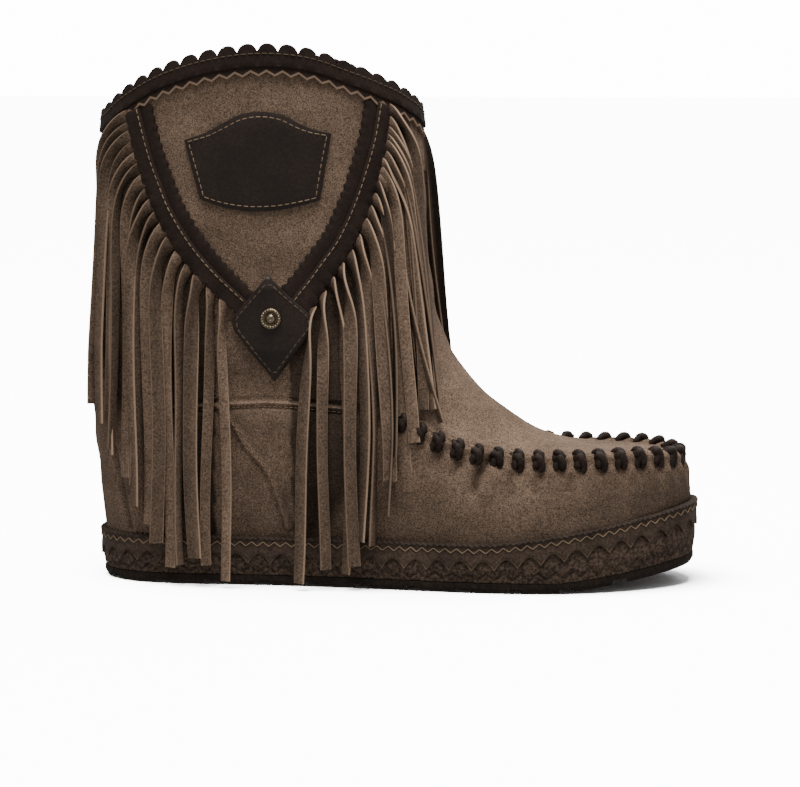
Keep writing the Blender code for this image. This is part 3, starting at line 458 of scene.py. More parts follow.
def shaft_foot(turn, height):
    """Points on the outer face at turns and heights."""
    turn, height = np.broadcast_arrays(np.asarray(turn, float), np.asarray(height, float))
    across = (turn % (2 * math.pi)) / (MAP_TURNS[1] - MAP_TURNS[0])
    up = (height - MAP_HEIGHTS[0]) / (MAP_HEIGHTS[1] - MAP_HEIGHTS[0])
    j = np.clip(across.astype(int), 0, len(MAP_TURNS) - 2)
    k = np.clip(up.astype(int), 0, len(MAP_HEIGHTS) - 2)
    a, b = (across - j)[..., None], (up - k)[..., None]
    low = SHAFT_MAP[j, k] * (1 - a) + SHAFT_MAP[j + 1, k] * a
    high = SHAFT_MAP[j, k + 1] * (1 - a) + SHAFT_MAP[j + 1, k + 1] * a
    return np.concatenate((low * (1 - b) + high * b, height[..., None]), axis=-1)


def shaft_normal(turn, height):
    sideways = shaft_foot(turn + NUDGE, height) - shaft_foot(turn - NUDGE, height)
    upwards = shaft_foot(turn, height + 0.002) - shaft_foot(turn, height - 0.002)
    return unit(np.cross(sideways, upwards))


def shaft_point(turn, height, lift=0.0):
    """Points over the shaft at turns and heights, lifted square to its face."""
    turn, height = np.broadcast_arrays(np.asarray(turn, float), np.asarray(height, float))
    return shaft_foot(turn, height) + shaft_normal(turn, height) * np.asarray(lift)[..., None]


def turn_at(x, height, side):
    """Turns of the shaft's points at places along its depth and heights."""
    x, height = np.broadcast_arrays(np.asarray(x, float), np.asarray(height, float))
    fan = np.linspace(0.02, math.pi - 0.02, 121)
    round_side = fan if side < 0 else 2 * math.pi - fan
    across = shaft_foot(round_side[None, :], height.reshape(-1, 1))[..., 0]
    turns = np.array([np.interp(a, line, fan) for a, line in zip(x.ravel(), across)])
    turns = turns.reshape(x.shape)
    return turns if side < 0 else 2 * math.pi - turns


def shifted(turn, height, along, up):
    """A place on the shaft moved by lengths along its girth and up its face."""
    here = shaft_foot(turn, height)
    girth = np.linalg.norm(shaft_foot(turn + NUDGE, height) - here, axis=-1) / NUDGE
    rise = np.linalg.norm(shaft_foot(turn, height + 0.002) - here, axis=-1) / 0.002
    return turn + along / girth, height + up / rise


def even_turns(line, points):
    """Turns that space points evenly, by length, round a closed line, and its length."""
    turns = loop_turns(800)
    loop = line(turns)
    steps = np.linalg.norm(np.roll(loop, -1, axis=0) - loop, axis=1)
    length = np.concatenate(([0], np.cumsum(steps)))
    at = length[-1] * np.arange(points) / points
    return np.interp(at, length, np.append(turns, 2 * math.pi)), float(length[-1])


def lengths_along(points):
    steps = np.linalg.norm(np.diff(points, axis=0), axis=1)
    return np.concatenate(([0], np.cumsum(steps)))


def yoke_line(side):
    """Fine line along the V strip's middle: turns, heights, shares and whole length."""
    knots, fine = np.linspace(0, 1, len(YOKE_LINE)), np.linspace(0, 1, 401)
    height = smooth(knots, column(YOKE_LINE, 1), fine) * COLLAR_HEIGHT
    x = COLLAR_BACK + COLLAR_DEPTH * smooth(knots, column(YOKE_LINE, 0), fine)
    turn = turn_at(x, height, side)
    length = lengths_along(shaft_foot(turn, height))
    return turn, height, length / length[-1], length[-1]


def yoke_places(side, at, across, rounding=0.02):
    """Turns and heights at shares of the V's length, moved across it away from its inside."""
    turn, height, share, _ = yoke_line(side)
    at, across = np.broadcast_arrays(np.asarray(at, float), np.asarray(across, float))
    middle_turn, middle_height = np.interp(at, share, turn), np.interp(at, share, height)
    before, after = np.clip(at - rounding, 0, 1), np.clip(at + rounding, 0, 1)
    here = shaft_foot(middle_turn, middle_height)
    girth = np.linalg.norm(shaft_foot(middle_turn + NUDGE, middle_height) - here, axis=-1)
    forward = np.interp(after, share, turn) - np.interp(before, share, turn)
    forward = forward * girth / NUDGE * -side
    rise = np.interp(after, share, height) - np.interp(before, share, height)
    way = unit(np.stack((forward, rise), axis=-1))
    along, up = way[..., 1] * across * -side, -way[..., 0] * across
    return shifted(middle_turn, middle_height, along, up)


# Mesh making


class Patches:
    """Grids of points gathered into one mesh, with a tint and an edge value each."""

    def __init__(self):
        self.points, self.quads, self.tints, self.edges, self.slots = [], [], [], [], []
        self.count = 0

    def add(self, grid, wrap=False, tint=0.0, edge=0.0, slot=0):
        """grid is (rows, columns, 3) or (pieces, rows, columns, 3); wrap closes its columns."""
        grid = np.asarray(grid, float)
        if grid.ndim == 3:
            grid = grid[None]
        pieces, rows, columns = grid.shape[:3]
        numbers = np.arange(pieces * rows * columns).reshape(pieces, rows, columns)
        numbers = numbers + self.count
        if wrap:
            numbers = np.concatenate((numbers, numbers[:, :, :1]), axis=2)
        low, high = numbers[:, :-1], numbers[:, 1:]
        quads = np.stack((low[..., :-1], low[..., 1:], high[..., 1:], high[..., :-1]), axis=-1)
        self.quads.append(quads.reshape(-1, 4))
        self.slots.append(np.full(quads.size // 4, slot))
        self.points.append(grid.reshape(-1, 3))
        for store, value in ((self.tints, tint), (self.edges, edge)):
            value = np.asarray(value, float)
            if value.ndim == 1 and value.shape[0] == pieces:
                value = value[:, None, None]
            store.append(np.broadcast_to(value, grid.shape[:3]).ravel())
        self.count += pieces * rows * columns
        return self

    def build(self, name, materials, slot_name, sharp=50.0):
        """One object of all grids, riding on the boot; slot_name is not used."""
        points, quads = np.concatenate(self.points), np.concatenate(self.quads)
        mesh = bpy.data.meshes.new(name)
        mesh.vertices.add(len(points))
        mesh.vertices.foreach_set("co", points.astype(np.float32).ravel())
        mesh.loops.add(quads.size)
        mesh.loops.foreach_set("vertex_index", quads.astype(np.int32).ravel())
        mesh.polygons.add(len(quads))
        mesh.polygons.foreach_set("loop_start", np.arange(0, quads.size, 4, dtype=np.int32))
        slots = np.concatenate(self.slots).astype(np.int32)
        mesh.polygons.foreach_set("material_index", slots)
        for word, values in (("tint", self.tints), ("edge", self.edges)):
            attribute = mesh.attributes.new(word, "FLOAT", "POINT")
            values = np.concatenate(values).astype(np.float32)
            attribute.data.foreach_set("value", values)
        mesh.update(calc_edges=True)
        for material in materials:
            mesh.materials.append(material)
        mesh.shade_smooth()
        mesh.set_sharp_from_angle(angle=math.radians(sharp))
        made = bpy.data.objects.new(name, mesh)
        bpy.context.scene.collection.objects.link(made)
        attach(made, "root")
        return made


def tubes(paths, normals, radius, sides=6, flat=1.0):
    """Round tubes along paths (pieces, rows, 3); normals point away from the boot.

    radius may change along the path; flat is the tube's height against its width.
    """
    along = unit(np.gradient(paths, axis=1))
    across = unit(np.cross(along, normals))
    upward = unit(np.cross(across, along))
    angle = 2 * math.pi * np.arange(sides) / sides
    radius = np.broadcast_to(np.asarray(radius, float), paths.shape[:2])[..., None, None]
    ring = across[:, :, None] * np.cos(angle)[:, None]
    ring = ring + upward[:, :, None] * np.sin(angle)[:, None] * flat
    return paths[:, :, None] + ring * radius


def capped(grids):
    """Closes each tube by drawing its end rings to their middles."""
    first = np.broadcast_to(grids[:, :1].mean(axis=2, keepdims=True), grids[:, :1].shape)
    last = np.broadcast_to(grids[:, -1:].mean(axis=2, keepdims=True), grids[:, -1:].shape)
    return np.concatenate((first, grids, last), axis=1)


def stitch_row(points, normals, pitch, length, radius, sink=0.0002):
    """A row of short threads along a line: each an arc from hole to hole."""
    reach = lengths_along(points)
    count = max(1, int(reach[-1] / pitch))
    centres = (np.arange(count) + 0.5) * reach[-1] / count
    part = np.linspace(-0.5, 0.5, 6)
    at = centres[:, None] + part * length
    paths = np.stack([np.interp(at, reach, points[:, axis]) for axis in range(3)], axis=-1)
    outs = np.stack([np.interp(at, reach, normals[:, axis]) for axis in range(3)], axis=-1)
    outs = unit(outs)
    arc = radius * 1.1 * (1 - (2 * part) ** 4) - sink
    paths = paths + outs * arc[None, :, None]
    return capped(tubes(paths, outs, radius, sides=5))


def thread_line(points, normals, radius):
    """One unbroken thread along a line."""
    return capped(tubes(points[None], normals[None], radius, sides=5))


def lid(turn, height, lift, thickness, round_over=0.72, puff=0.0):
    """A sheet on the shaft from grids of turns and heights; its rim is rounded and closed.

    The outermost ring of the grid is lowered to round_over of the thickness, and a copy
    of it lies at the sheet's underside; puff cushions the middle.
    """
    lift = np.broadcast_to(np.asarray(lift, float), turn.shape)
    rise = [np.sin(math.pi * np.linspace(0, 1, count)) ** 0.5 for count in turn.shape]
    height_over = thickness + puff * rise[0][:, None] * rise[1]
    height_over[[0, -1], :] = thickness * round_over
    height_over[:, [0, -1]] = thickness * round_over
    top = np.pad(lift + height_over, 1, mode="edge")
    under = np.pad(lift, 1, mode="edge")
    ring = np.ones(top.shape, bool)
    ring[1:-1, 1:-1] = False
    total = np.where(ring, under, top)
    return shaft_point(np.pad(turn, 1, mode="edge"), np.pad(height, 1, mode="edge"), total)


def near_polyline(x, z, points):
    """Distance of places to a polyline in the side view, and the share along it."""
    points = np.asarray(points, float)
    best, share = np.full(x.shape, 1e9), np.zeros(x.shape)
    steps = np.linalg.norm(np.diff(points, axis=0), axis=1)
    starts = np.concatenate(([0], np.cumsum(steps)))
    for number, (a, b) in enumerate(zip(points[:-1], points[1:])):
        way = b - a
        part = np.clip(((x - a[0]) * way[0] + (z - a[1]) * way[1]) / (way @ way), 0, 1)
        distance = np.hypot(x - a[0] - part * way[0], z - a[1] - part * way[1])
        closer = distance < best
        best = np.where(closer, distance, best)
        share = np.where(closer, (starts[number] + part * steps[number]) / starts[-1], share)
    return best, share


# Materials


def add(tree, kind, **settings):
    """A shader node with its plain settings; values for sockets are given by name."""
    made = tree.nodes.new(kind)
    for key, value in settings.items():
        if hasattr(made, key) and key not in made.inputs:
            setattr(made, key, value)
        else:
            made.inputs[key.replace("_", " ")].default_value = value
    return made


def grain_group():
    """Node group: speckle of fine nap over soft clouds, and its height."""
    group = bpy.data.node_groups.new("grain", "ShaderNodeTree")
    face = group.interface
    for name, value in (("Fine", 1500.0), ("Coarse", 60.0)):
        face.new_socket(name, in_out="INPUT", socket_type="NodeSocketFloat").default_value = value
    for name in ("Speckle", "Cloud", "Height"):
        face.new_socket(name, in_out="OUTPUT", socket_type="NodeSocketFloat")
    inward, outward = group.nodes.new("NodeGroupInput"), group.nodes.new("NodeGroupOutput")
    place = add(group, "ShaderNodeTexCoord")
    fine = add(group, "ShaderNodeTexNoise", Detail=3.0, Roughness=0.75)
    middle = add(group, "ShaderNodeTexNoise", Scale=420.0, Detail=3.0, Roughness=0.7)
    cloud = add(group, "ShaderNodeTexNoise", Detail=4.0, Roughness=0.6)
    mixed = add(group, "ShaderNodeMix", data_type="FLOAT")
    mixed.inputs[0].default_value = 0.15
    link = group.links.new
    for texture in (fine, middle, cloud):
        link(place.outputs["Object"], texture.inputs["Vector"])
    link(inward.outputs["Fine"], fine.inputs["Scale"])
    link(inward.outputs["Coarse"], cloud.inputs["Scale"])
    link(fine.outputs["Fac"], mixed.inputs[2])
    link(middle.outputs["Fac"], mixed.inputs[3])
    link(mixed.outputs[0], outward.inputs["Speckle"])
    link(cloud.outputs["Fac"], outward.inputs["Cloud"])
    link(mixed.outputs[0], outward.inputs["Height"])
    return group


def ramp(tree, low, high, first, second):
    made = tree.nodes.new("ShaderNodeValToRGB")
    made.color_ramp.elements[0].position, made.color_ramp.elements[1].position = low, high
    made.color_ramp.elements[0].color = (*first, 1.0)
    made.color_ramp.elements[1].color = (*second, 1.0)
    return made


def mix_colour(tree, factor, first, second, blend="MIX"):
    """Mix of two colours; each argument is a socket or a value."""
    made = add(tree, "ShaderNodeMix", data_type="RGBA", blend_type=blend)
    for value, socket in ((factor, made.inputs[0]), (first, made.inputs[6]), (second, made.inputs[7])):
        if isinstance(value, bpy.types.NodeSocket):
            tree.links.new(value, socket)
        elif isinstance(value, (int, float)):
            socket.default_value = value
        else:
            socket.default_value = (*value, 1.0)
    return made.outputs[2]


def surface(name, dark, light, roughness, relief=0.0, fine=1500.0, coarse=60.0,
            spread=(0.36, 0.64), cloudy=0.35, metallic=0.0, coat=0.0, worn_and_lit_edge=None, specular=0.12):
    """Material of one finish: speckled between two colours, tinted by the piece's attribute.

    worn is the colour of cut edges, where the edge attribute is 1: lighter cut suede, and on the strands
    also a painted highlight.
    """
    material = bpy.data.materials.new("boot_" + name)
    material.use_nodes = True
    tree = material.node_tree
    shader = tree.nodes["Principled BSDF"]
    link = tree.links.new
    grain = tree.nodes.new("ShaderNodeGroup")
    grain.node_tree = bpy.data.node_groups["grain"]
    grain.inputs["Fine"].default_value = fine
    grain.inputs["Coarse"].default_value = coarse
    colours = ramp(tree, *spread, dark, light)
    link(grain.outputs["Speckle"], colours.inputs[0])
    clouds = ramp(tree, 0.3, 0.7, (1 - cloudy,) * 3, (1 + cloudy * 0.4,) * 3)
    link(grain.outputs["Cloud"], clouds.inputs[0])
    colour = mix_colour(tree, 1.0, colours.outputs[0], clouds.outputs[0], "MULTIPLY")
    # the tint attribute darkens or lightens the colour: it carries the pieces' painted shade and painted
    # highlights as well as their own colour changes
    tint = add(tree, "ShaderNodeAttribute", attribute_name="tint")
    shade = add(tree, "ShaderNodeMapRange")
    shade.inputs[1].default_value, shade.inputs[2].default_value = -2.0, 2.0
    shade.inputs[3].default_value, shade.inputs[4].default_value = 0.1, 1.9
    link(tint.outputs["Fac"], shade.inputs[0])
    colour = mix_colour(tree, 1.0, colour, shade.outputs[0], "MULTIPLY")
    if worn_and_lit_edge is not None:
        edge = add(tree, "ShaderNodeAttribute", attribute_name="edge")
        colour = mix_colour(tree, edge.outputs["Fac"], colour, worn_and_lit_edge)
    link(colour, shader.inputs["Base Color"])
    shader.inputs["Roughness"].default_value = roughness
    shader.inputs["Metallic"].default_value = metallic
    shader.inputs["Specular IOR Level"].default_value = specular
    shader.inputs["Coat Weight"].default_value = coat
    if relief:
        bump = add(tree, "ShaderNodeBump", Distance=relief)
        bump.inputs["Strength"].default_value = 1.0
        link(grain.outputs["Height"], bump.inputs["Height"])
        link(bump.outputs["Normal"], shader.inputs["Normal"])
    return material


def make_materials(colours):
    """Every finish of the boot, by name."""
    grain_group()
    suede, dark = tuple(colours.suede), tuple(colours.dark_leather)
    thread = tuple(colours.thread)

    def shade(colour, factor):
        return tuple(c * factor for c in colour)

    surface("suede", shade(suede, 0.30), shade(suede, 1.70), 0.95, relief=0.0004, fine=1700.0,
            spread=(0.38, 0.65), cloudy=0.25)
    # its edge colour is lighter cut suede and, on the strands' edges, painted highlight
    surface("fringe_suede", shade(suede, 0.3), shade(suede, 1.3), 0.92, relief=0.0003,
            fine=1150.0, worn_and_lit_edge=shade(suede, 2.4), cloudy=0.25)
    surface("pinked_suede", shade(dark, 0.8), shade(dark, 1.9), 0.8, relief=0.0002,
            worn_and_lit_edge=shade(suede, 1.5))
    surface("dark_suede", shade(dark, 0.8), shade(dark, 1.7), 0.75, relief=0.00025, coarse=90.0,
            worn_and_lit_edge=shade(suede, 0.5))
    surface("dark_leather", shade(dark, 0.7), shade(dark, 1.3), 0.42, relief=0.0001,
            fine=900.0, coarse=45.0, specular=0.2)
    surface("lace", shade(dark, 0.7), shade(dark, 1.9), 0.55, relief=0.0002, fine=1200.0, specular=0.12)
    surface("thread", shade(thread, 0.8), shade(thread, 1.2), 0.8)
    surface("seam_thread", shade(suede, 0.9), shade(suede, 1.9), 0.9)
    surface("dull_thread", shade(thread, 0.35), shade(thread, 0.6), 0.8)
    sole = tuple(colours.sole)
    surface("crepe_rubber", shade(sole, 0.45), shade(sole, 1.9), 0.8, relief=0.0006,
            fine=800.0, coarse=120.0, cloudy=0.4, spread=(0.42, 0.6))
    surface("rand_leather", shade(sole, 0.5), shade(sole, 1.5), 0.7, relief=0.0003, fine=900.0)
    surface("tread_rubber", shade(sole, 0.15), shade(sole, 0.45), 0.8, relief=0.0004, fine=600.0)
    surface("lining", shade(suede, 0.35), shade(suede, 0.6), 0.9, relief=0.0002)
    metal = tuple(colours.metal)
    surface("aged_metal", shade(metal, 0.5), shade(metal, 1.3), 0.32, metallic=1.0, fine=900.0, specular=0.5)


def finish(name):
    return bpy.data.materials["boot_" + name]


# Pieces


def fringe_shade_mask(x, z):
    """Where the strands hang over the shaft: 1 between the V and their ends, softly 0 outside; the skin is
    painted darker there as the strands' shade.
    """
    line = np.array(YOKE_LINE)
    strip = np.interp(x, COLLAR_BACK + COLLAR_DEPTH * line[:, 0], COLLAR_HEIGHT * line[:, 1])
    ends = np.interp(x, column(FRINGE_ENDS, 0), column(FRINGE_ENDS, 1))
    return np.clip((strip - 0.004 - z) / 0.008, 0, 1) * np.clip((z - ends) / 0.012, 0, 1)


def upper_skin(sizes):
    """Suede skin: the section surface plus ridge, gathers, creases and seams as relief.

    outer = section surface + normal * (ridge + gathers + creases + slow dents)
    """
    columns, rows = 480, 190
    turn = loop_turns(columns)
    levels = np.concatenate((
        np.linspace(0, SEAM_SECTION - 1, 62, endpoint=False),
        np.linspace(SEAM_SECTION - 1, SEAM_SECTION + 1, 60, endpoint=False),
        np.linspace(SEAM_SECTION + 1, LAST_SECTION, rows - 122),
    ))
    grid = plain_upper(turn, levels)
    sideways = np.roll(grid, -1, axis=1) - np.roll(grid, 1, axis=1)
    normal = unit(np.cross(sideways, np.gradient(grid, axis=0)))
    x, y, z = grid[..., 0], grid[..., 1], grid[..., 2]
    column_steps = np.linalg.norm(np.diff(grid, axis=0), axis=2)
    risen = np.concatenate((np.zeros((1, columns)), np.cumsum(column_steps, axis=0)))
    at_seam = np.array([np.interp(SEAM_SECTION, levels, risen[:, j]) for j in range(columns)])
    over = risen - at_seam
    seam = seam_line(turn)
    along = lengths_along(seam)
    start = np.interp(math.acos(1 - 2 * sizes.lace_start), turn, along)
    laced_length = np.interp(2 * math.pi - math.acos(1 - 2 * sizes.lace_start), turn, along) - start
    stitch = (along - start) / laced_length * int(laced_length / sizes.lace_pitch)
    toe_part = np.clip((share_of(turn) - 0.49) / 0.05, 0, 1)
    laced = np.clip((share_of(turn) - sizes.lace_start) / 0.02, 0, 1)
    between = np.cos(2 * math.pi * stitch)
    ridge = SEAM_RIDGE * np.exp(-((over / 0.0024) ** 2)) * toe_part
    ridge = ridge + 0.0006 * between * laced * np.exp(-((over / 0.0026) ** 2))
    gathers = np.exp(-(((over + 0.0062) / 0.0040) ** 2)) * 0.0011 * between * laced
    gathers += np.exp(-(((over - 0.0052) / 0.0030) ** 2)) * 0.0005 * between * laced
    relief = ridge + gathers
    relief += np.where(over > 0.0035, -0.0005, 0.0) * toe_part * np.exp(-(over / 0.02) ** 2)
    lateral = y < 0
    tint = np.zeros(x.shape)
    for depth, width, points in CREASES:
        distance, share = near_polyline(x, z, points)
        fade = np.clip(4 * (1 - share), 0, 1) * np.clip(8 * share + 0.3, 0, 1)
        mark = fade * np.exp(-((distance / width) ** 2)) * np.where(lateral, 1, 0.6)
        relief += depth * mark
        # painted shade in the creases and painted highlight on the ridges, scaled from their depth
        tint += 260 * depth * mark
    for height, width, points in SEAM_RIDGES:
        distance, _ = near_polyline(x, z, points)
        relief += height * np.exp(-((distance / width) ** 2)) * lateral
        relief -= 0.5 * height * np.exp(-(((distance - 2.4 * width) / width) ** 2)) * lateral
        # painted highlight on each raised seam and painted shade in the dip beside it
        tint += 0.7 * np.exp(-((distance / width) ** 2)) * lateral
        tint -= 0.6 * np.exp(-(((distance - 2.0 * width) / (0.7 * width)) ** 2)) * lateral
    distance, _ = near_polyline(x, z, HEEL_SEAM)
    relief -= 0.0014 * np.exp(-((distance / 0.0012) ** 2))
    tint -= 0.9 * np.exp(-((distance / 0.0011) ** 2))
    slow = np.sin(3 * turn + 22 * z / 0.1) + np.sin(5 * turn - 31 * z / 0.1 + 1.3)
    relief += 0.00022 * slow * np.clip((z - 0.03) / 0.03, 0, 1)
    # painted highlight along the apron seam's ridge at the toe
    tint += 0.30 * np.exp(-((over / 0.0022) ** 2)) * toe_part
    # painted shade: darker just above the sole, in the corner where the upper meets it, and a little darker
    # over the lower boot
    tint -= 0.45 * np.exp(-((z - sole_top(x)) / 0.006))
    tint -= 0.10 * np.clip((0.06 - z) / 0.04, 0, 1)
    # painted light: faces that look up are lighter
    tint += 0.22 * np.clip((normal[..., 2] - 0.25) / 0.6, 0, 1)
    at_toe = np.clip((share_of(turn) - 0.90) / 0.10, 0, 1)
    relief += 0.0024 * at_toe * np.sin(math.pi * np.clip(levels / SEAM_SECTION, 0, 1))[:, None]
    # painted shade on the toe's wall below the apron seam, growing towards the front
    below = np.clip(-over / 0.012, 0, 1)
    tint -= 0.75 * below * np.clip((share_of(turn) - 0.62) / 0.3, 0, 1)
    # painted shade behind the strands
    tint -= 1.5 * fringe_shade_mask(x, z)
    relief *= np.clip((levels / 0.8), 0, 1)[:, None]
    made = Patches().add(grid + normal * relief[..., None], wrap=True, tint=tint)
    skin = made.build("upper_skin", [finish("suede")], "suede", sharp=75)
    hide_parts("upper")
    return grid, normal


def seam_threads(side, word):
    """Fine stitches along the counter's two seams."""
    rows = Patches()
    for height, width, points in SEAM_RIDGES:
        points = np.array(points)
        share = lengths_along(points)
        fine = np.linspace(0, share[-1], 120)
        x, level = (np.interp(fine, share, points[:, axis]) for axis in (0, 1))
        for aside in (0.0, -0.0017):
            turn = turn_at(x, level + aside, side)
            lift = np.full(120, height + 0.0002 if aside == 0 else 0.0003)
            line = shaft_point(turn, level + aside, lift)
            normals = shaft_normal(turn, level + aside)
            rows.add(stitch_row(line, normals, 0.0024, 0.0016, 0.0002), wrap=True)
    rows.build(f"seam_stitches_{word}", [finish("seam_thread")], "suede")


def lining(sizes):
    """Inner face of the upper and its rolled top edge."""
    turn = loop_turns(200)
    levels = np.linspace(LAST_SECTION, 1.0, 46)
    grid = plain_upper(turn, levels)
    sideways = np.roll(grid, -1, axis=1) - np.roll(grid, 1, axis=1)
    normal = unit(np.cross(sideways, -np.gradient(grid, axis=0)))
    top = grid[:1]
    rim = np.concatenate((top - normal[:1] * 0.0001, top - normal[:1] * 0.0011))
    rim[1, :, 2] += 0.0006
    inner = grid - normal * sizes.wall
    made = Patches().add(np.concatenate((rim, inner)), wrap=True, tint=-0.2)
    made.build("lining", [finish("lining")], "lining", sharp=80)


def collar_band(sizes):
    """Scalloped band over a pinked one round the collar, with a row of stitching.

    Top edge = collar edge + rise * half circle of each scallop.
    """
    scallops = round(even_turns(collar_line, 8)[1] / sizes.scallop_pitch)
    columns = scallops * 14
    turn, girth = even_turns(collar_line, columns)
    edge = collar_line(turn)[:, 2]
    part = (np.arange(columns) / 14) % 1 - 0.5
    lobe = np.sqrt(np.clip(1 - (part / 0.46) ** 2, 0, 1))
    top = edge + sizes.scallop_rise * (0.12 + 0.88 * lobe)
    low = edge - sizes.band_depth
    lifts = ((0.0, 0.0011), (0.0, 0.0023), (0.06, 0.0027), (0.30, 0.0026), (0.60, 0.0025),
             (0.80, 0.0025), (0.95, 0.0025), (1.0, 0.0020), (1.0, 0.0011), (0.9, 0.0007))
    rows = [shaft_point(turn, low + (top - low) * way, np.full(columns, lift))
            for way, lift in lifts]
    band = Patches().add(np.array(rows), wrap=True)
    made = band.build("collar_scallops", [finish("dark_suede")], "dark_suede", sharp=40)
    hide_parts("collar_band")
    teeth = round(girth / sizes.pinking_pitch)
    columns = teeth * 6
    turn, _ = even_turns(collar_line, columns)
    edge = collar_line(turn)[:, 2]
    saw = np.abs((np.arange(columns) / 6) % 1 - 0.5) * 2
    tip = edge - sizes.band_depth - sizes.pinking_drop + sizes.pinking_depth * saw
    rows = [shaft_point(turn, edge - 0.004, np.full(columns, 0.0012)),
            shaft_point(turn, tip + 0.0012, np.full(columns, 0.0018)),
            shaft_point(turn, tip + 0.0008, np.full(columns, 0.0018)),
            shaft_point(turn, tip, np.full(columns, 0.0016)),
            shaft_point(turn, tip, np.full(columns, 0.0002))]
    cut = np.array([0.0, 0.0, 1.0, 1.0, 0.6])[::-1]
    pinked = Patches().add(np.array(rows)[::-1], wrap=True, tint=0.2,
                           edge=np.repeat(cut[:, None], columns, axis=1)[None])
    pinked.build("collar_pinking", [finish("pinked_suede")], "dark_suede", sharp=30)
    fine = np.linspace(0, 2 * math.pi, 1200)
    edge = collar_line(fine)[:, 2]
    line = shaft_point(fine, edge - 0.0004, np.full(1200, 0.0026))
    normals = shaft_normal(fine, edge - 0.0004)
    threads = Patches().add(stitch_row(line, normals, 0.0031, 0.0021, 0.00026), wrap=True)
    threads.build("collar_stitches", [finish("dull_thread")], "suede")


def yoke_strip(sizes, side, word):
    """V strip in two layers, each a thin sheet bent round the shaft, with one seam."""
    count = 240
    at = np.linspace(0, 1, count)
    half = sizes.yoke_width / 2
    _, _, _, length = yoke_line(side)
    wave = np.abs(np.sin(math.pi * at * length / sizes.strand_pitch))
    outer_edge = half + 0.0006 - 0.0016 * (1 - wave) ** 2
    inner_edge = half - sizes.yoke_outer
    across = np.stack([outer_edge, outer_edge - 0.0005, np.full(count, half * 0.4),
                       np.full(count, inner_edge + 0.002), np.full(count, inner_edge + 0.0005),
                       np.full(count, inner_edge)])
    turn, height = yoke_places(side, at[None, :], across)
    body = Patches().add(lid(turn, height, 0.0011, 0.0014))
    saw = np.abs((at * length / sizes.yoke_pinking) % 1 - 0.5) * 2
    tips = -half - 0.0004 + 0.0013 * saw
    across = np.stack([np.full(count, inner_edge + 0.001), np.full(count, -half + 0.0032),
                       tips + 0.0005, tips])
    turn, height = yoke_places(side, at[None, :], across)
    body.add(lid(turn, height, 0.0003, 0.0010), tint=-0.1)
    made = body.build(f"yoke_strip_{word}", [finish("dark_suede")], "dark_suede", sharp=40)
    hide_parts(f"yoke_trim_{word}")
    turn, height = yoke_places(side, at, inner_edge + 0.0011)
    line = shaft_point(turn, height, np.full(count, 0.0025))
    row = stitch_row(line, shaft_normal(turn, height), 0.0030, 0.0020, 0.00028)
    threads = Patches().add(row, wrap=True)
    threads.build(f"yoke_stitches_{word}", [finish("thread")], "dark_suede")


def section_at(level):
    if level < SOLE_HEIGHT + 0.001:
        return outline_plan(MAP_TURNS, 0.0)
    return shaft_foot(MAP_TURNS, level)[:, :2]


def draped(drops, outs):
    """Outward distances over a profile: straight from swell to swell, then plumb."""
    peak = int(np.argmax(outs))
    resting = [0]
    while resting[-1] < peak:
        here = resting[-1]
        ahead = np.arange(here + 1, peak + 1)
        slopes = (outs[ahead] - outs[here]) / (drops[ahead] - drops[here])
        resting.append(int(ahead[np.argmax(slopes)]))
    return np.interp(drops, drops[resting], outs[resting])


def strand_path(turn, height, end, way, rows, bend):
    """Middle line of a hanging strand and the way out from the boot.

    Sideways it goes by way * (1 - exp(-drop / bend)); outwards it drapes over the boot.
    """
    girth = shaft_foot(turn + NUDGE, height) - shaft_foot(turn, height)
    plumb_turn = turn + way * NUDGE / np.linalg.norm(girth)
    plumb = shaft_foot(plumb_turn, height)[:2]
    along = shaft_foot(plumb_turn + NUDGE, height) - shaft_foot(plumb_turn - NUDGE, height)
    along = unit(along[:2])
    side = -1 if plumb_turn < math.pi else 1
    outward = np.array((along[1], -along[0]))
    outward = unit(outward + (0, side * 1.2 * max(outward[0], 0)))
    along = np.array((-outward[1], outward[0]))
    drops = (height - end) * np.linspace(0, 1, rows) ** 1.6
    aside = -way * np.exp(-drops / bend)
    outs = np.empty(rows)
    for number, drop in enumerate(drops):
        loop = section_at(height - drop) - plumb
        facing = loop @ outward > -BALL_WIDTH / 4
        order = np.argsort(loop[facing] @ along)
        outs[number] = np.interp(
            aside[number], (loop[facing] @ along)[order], (loop[facing] @ outward)[order]
        )
    outs = draped(drops, outs)
    plans = plumb + aside[:, None] * along + outs[:, None] * outward
    return np.column_stack((plans, height - drops)), np.append(outward, 0.0), drops


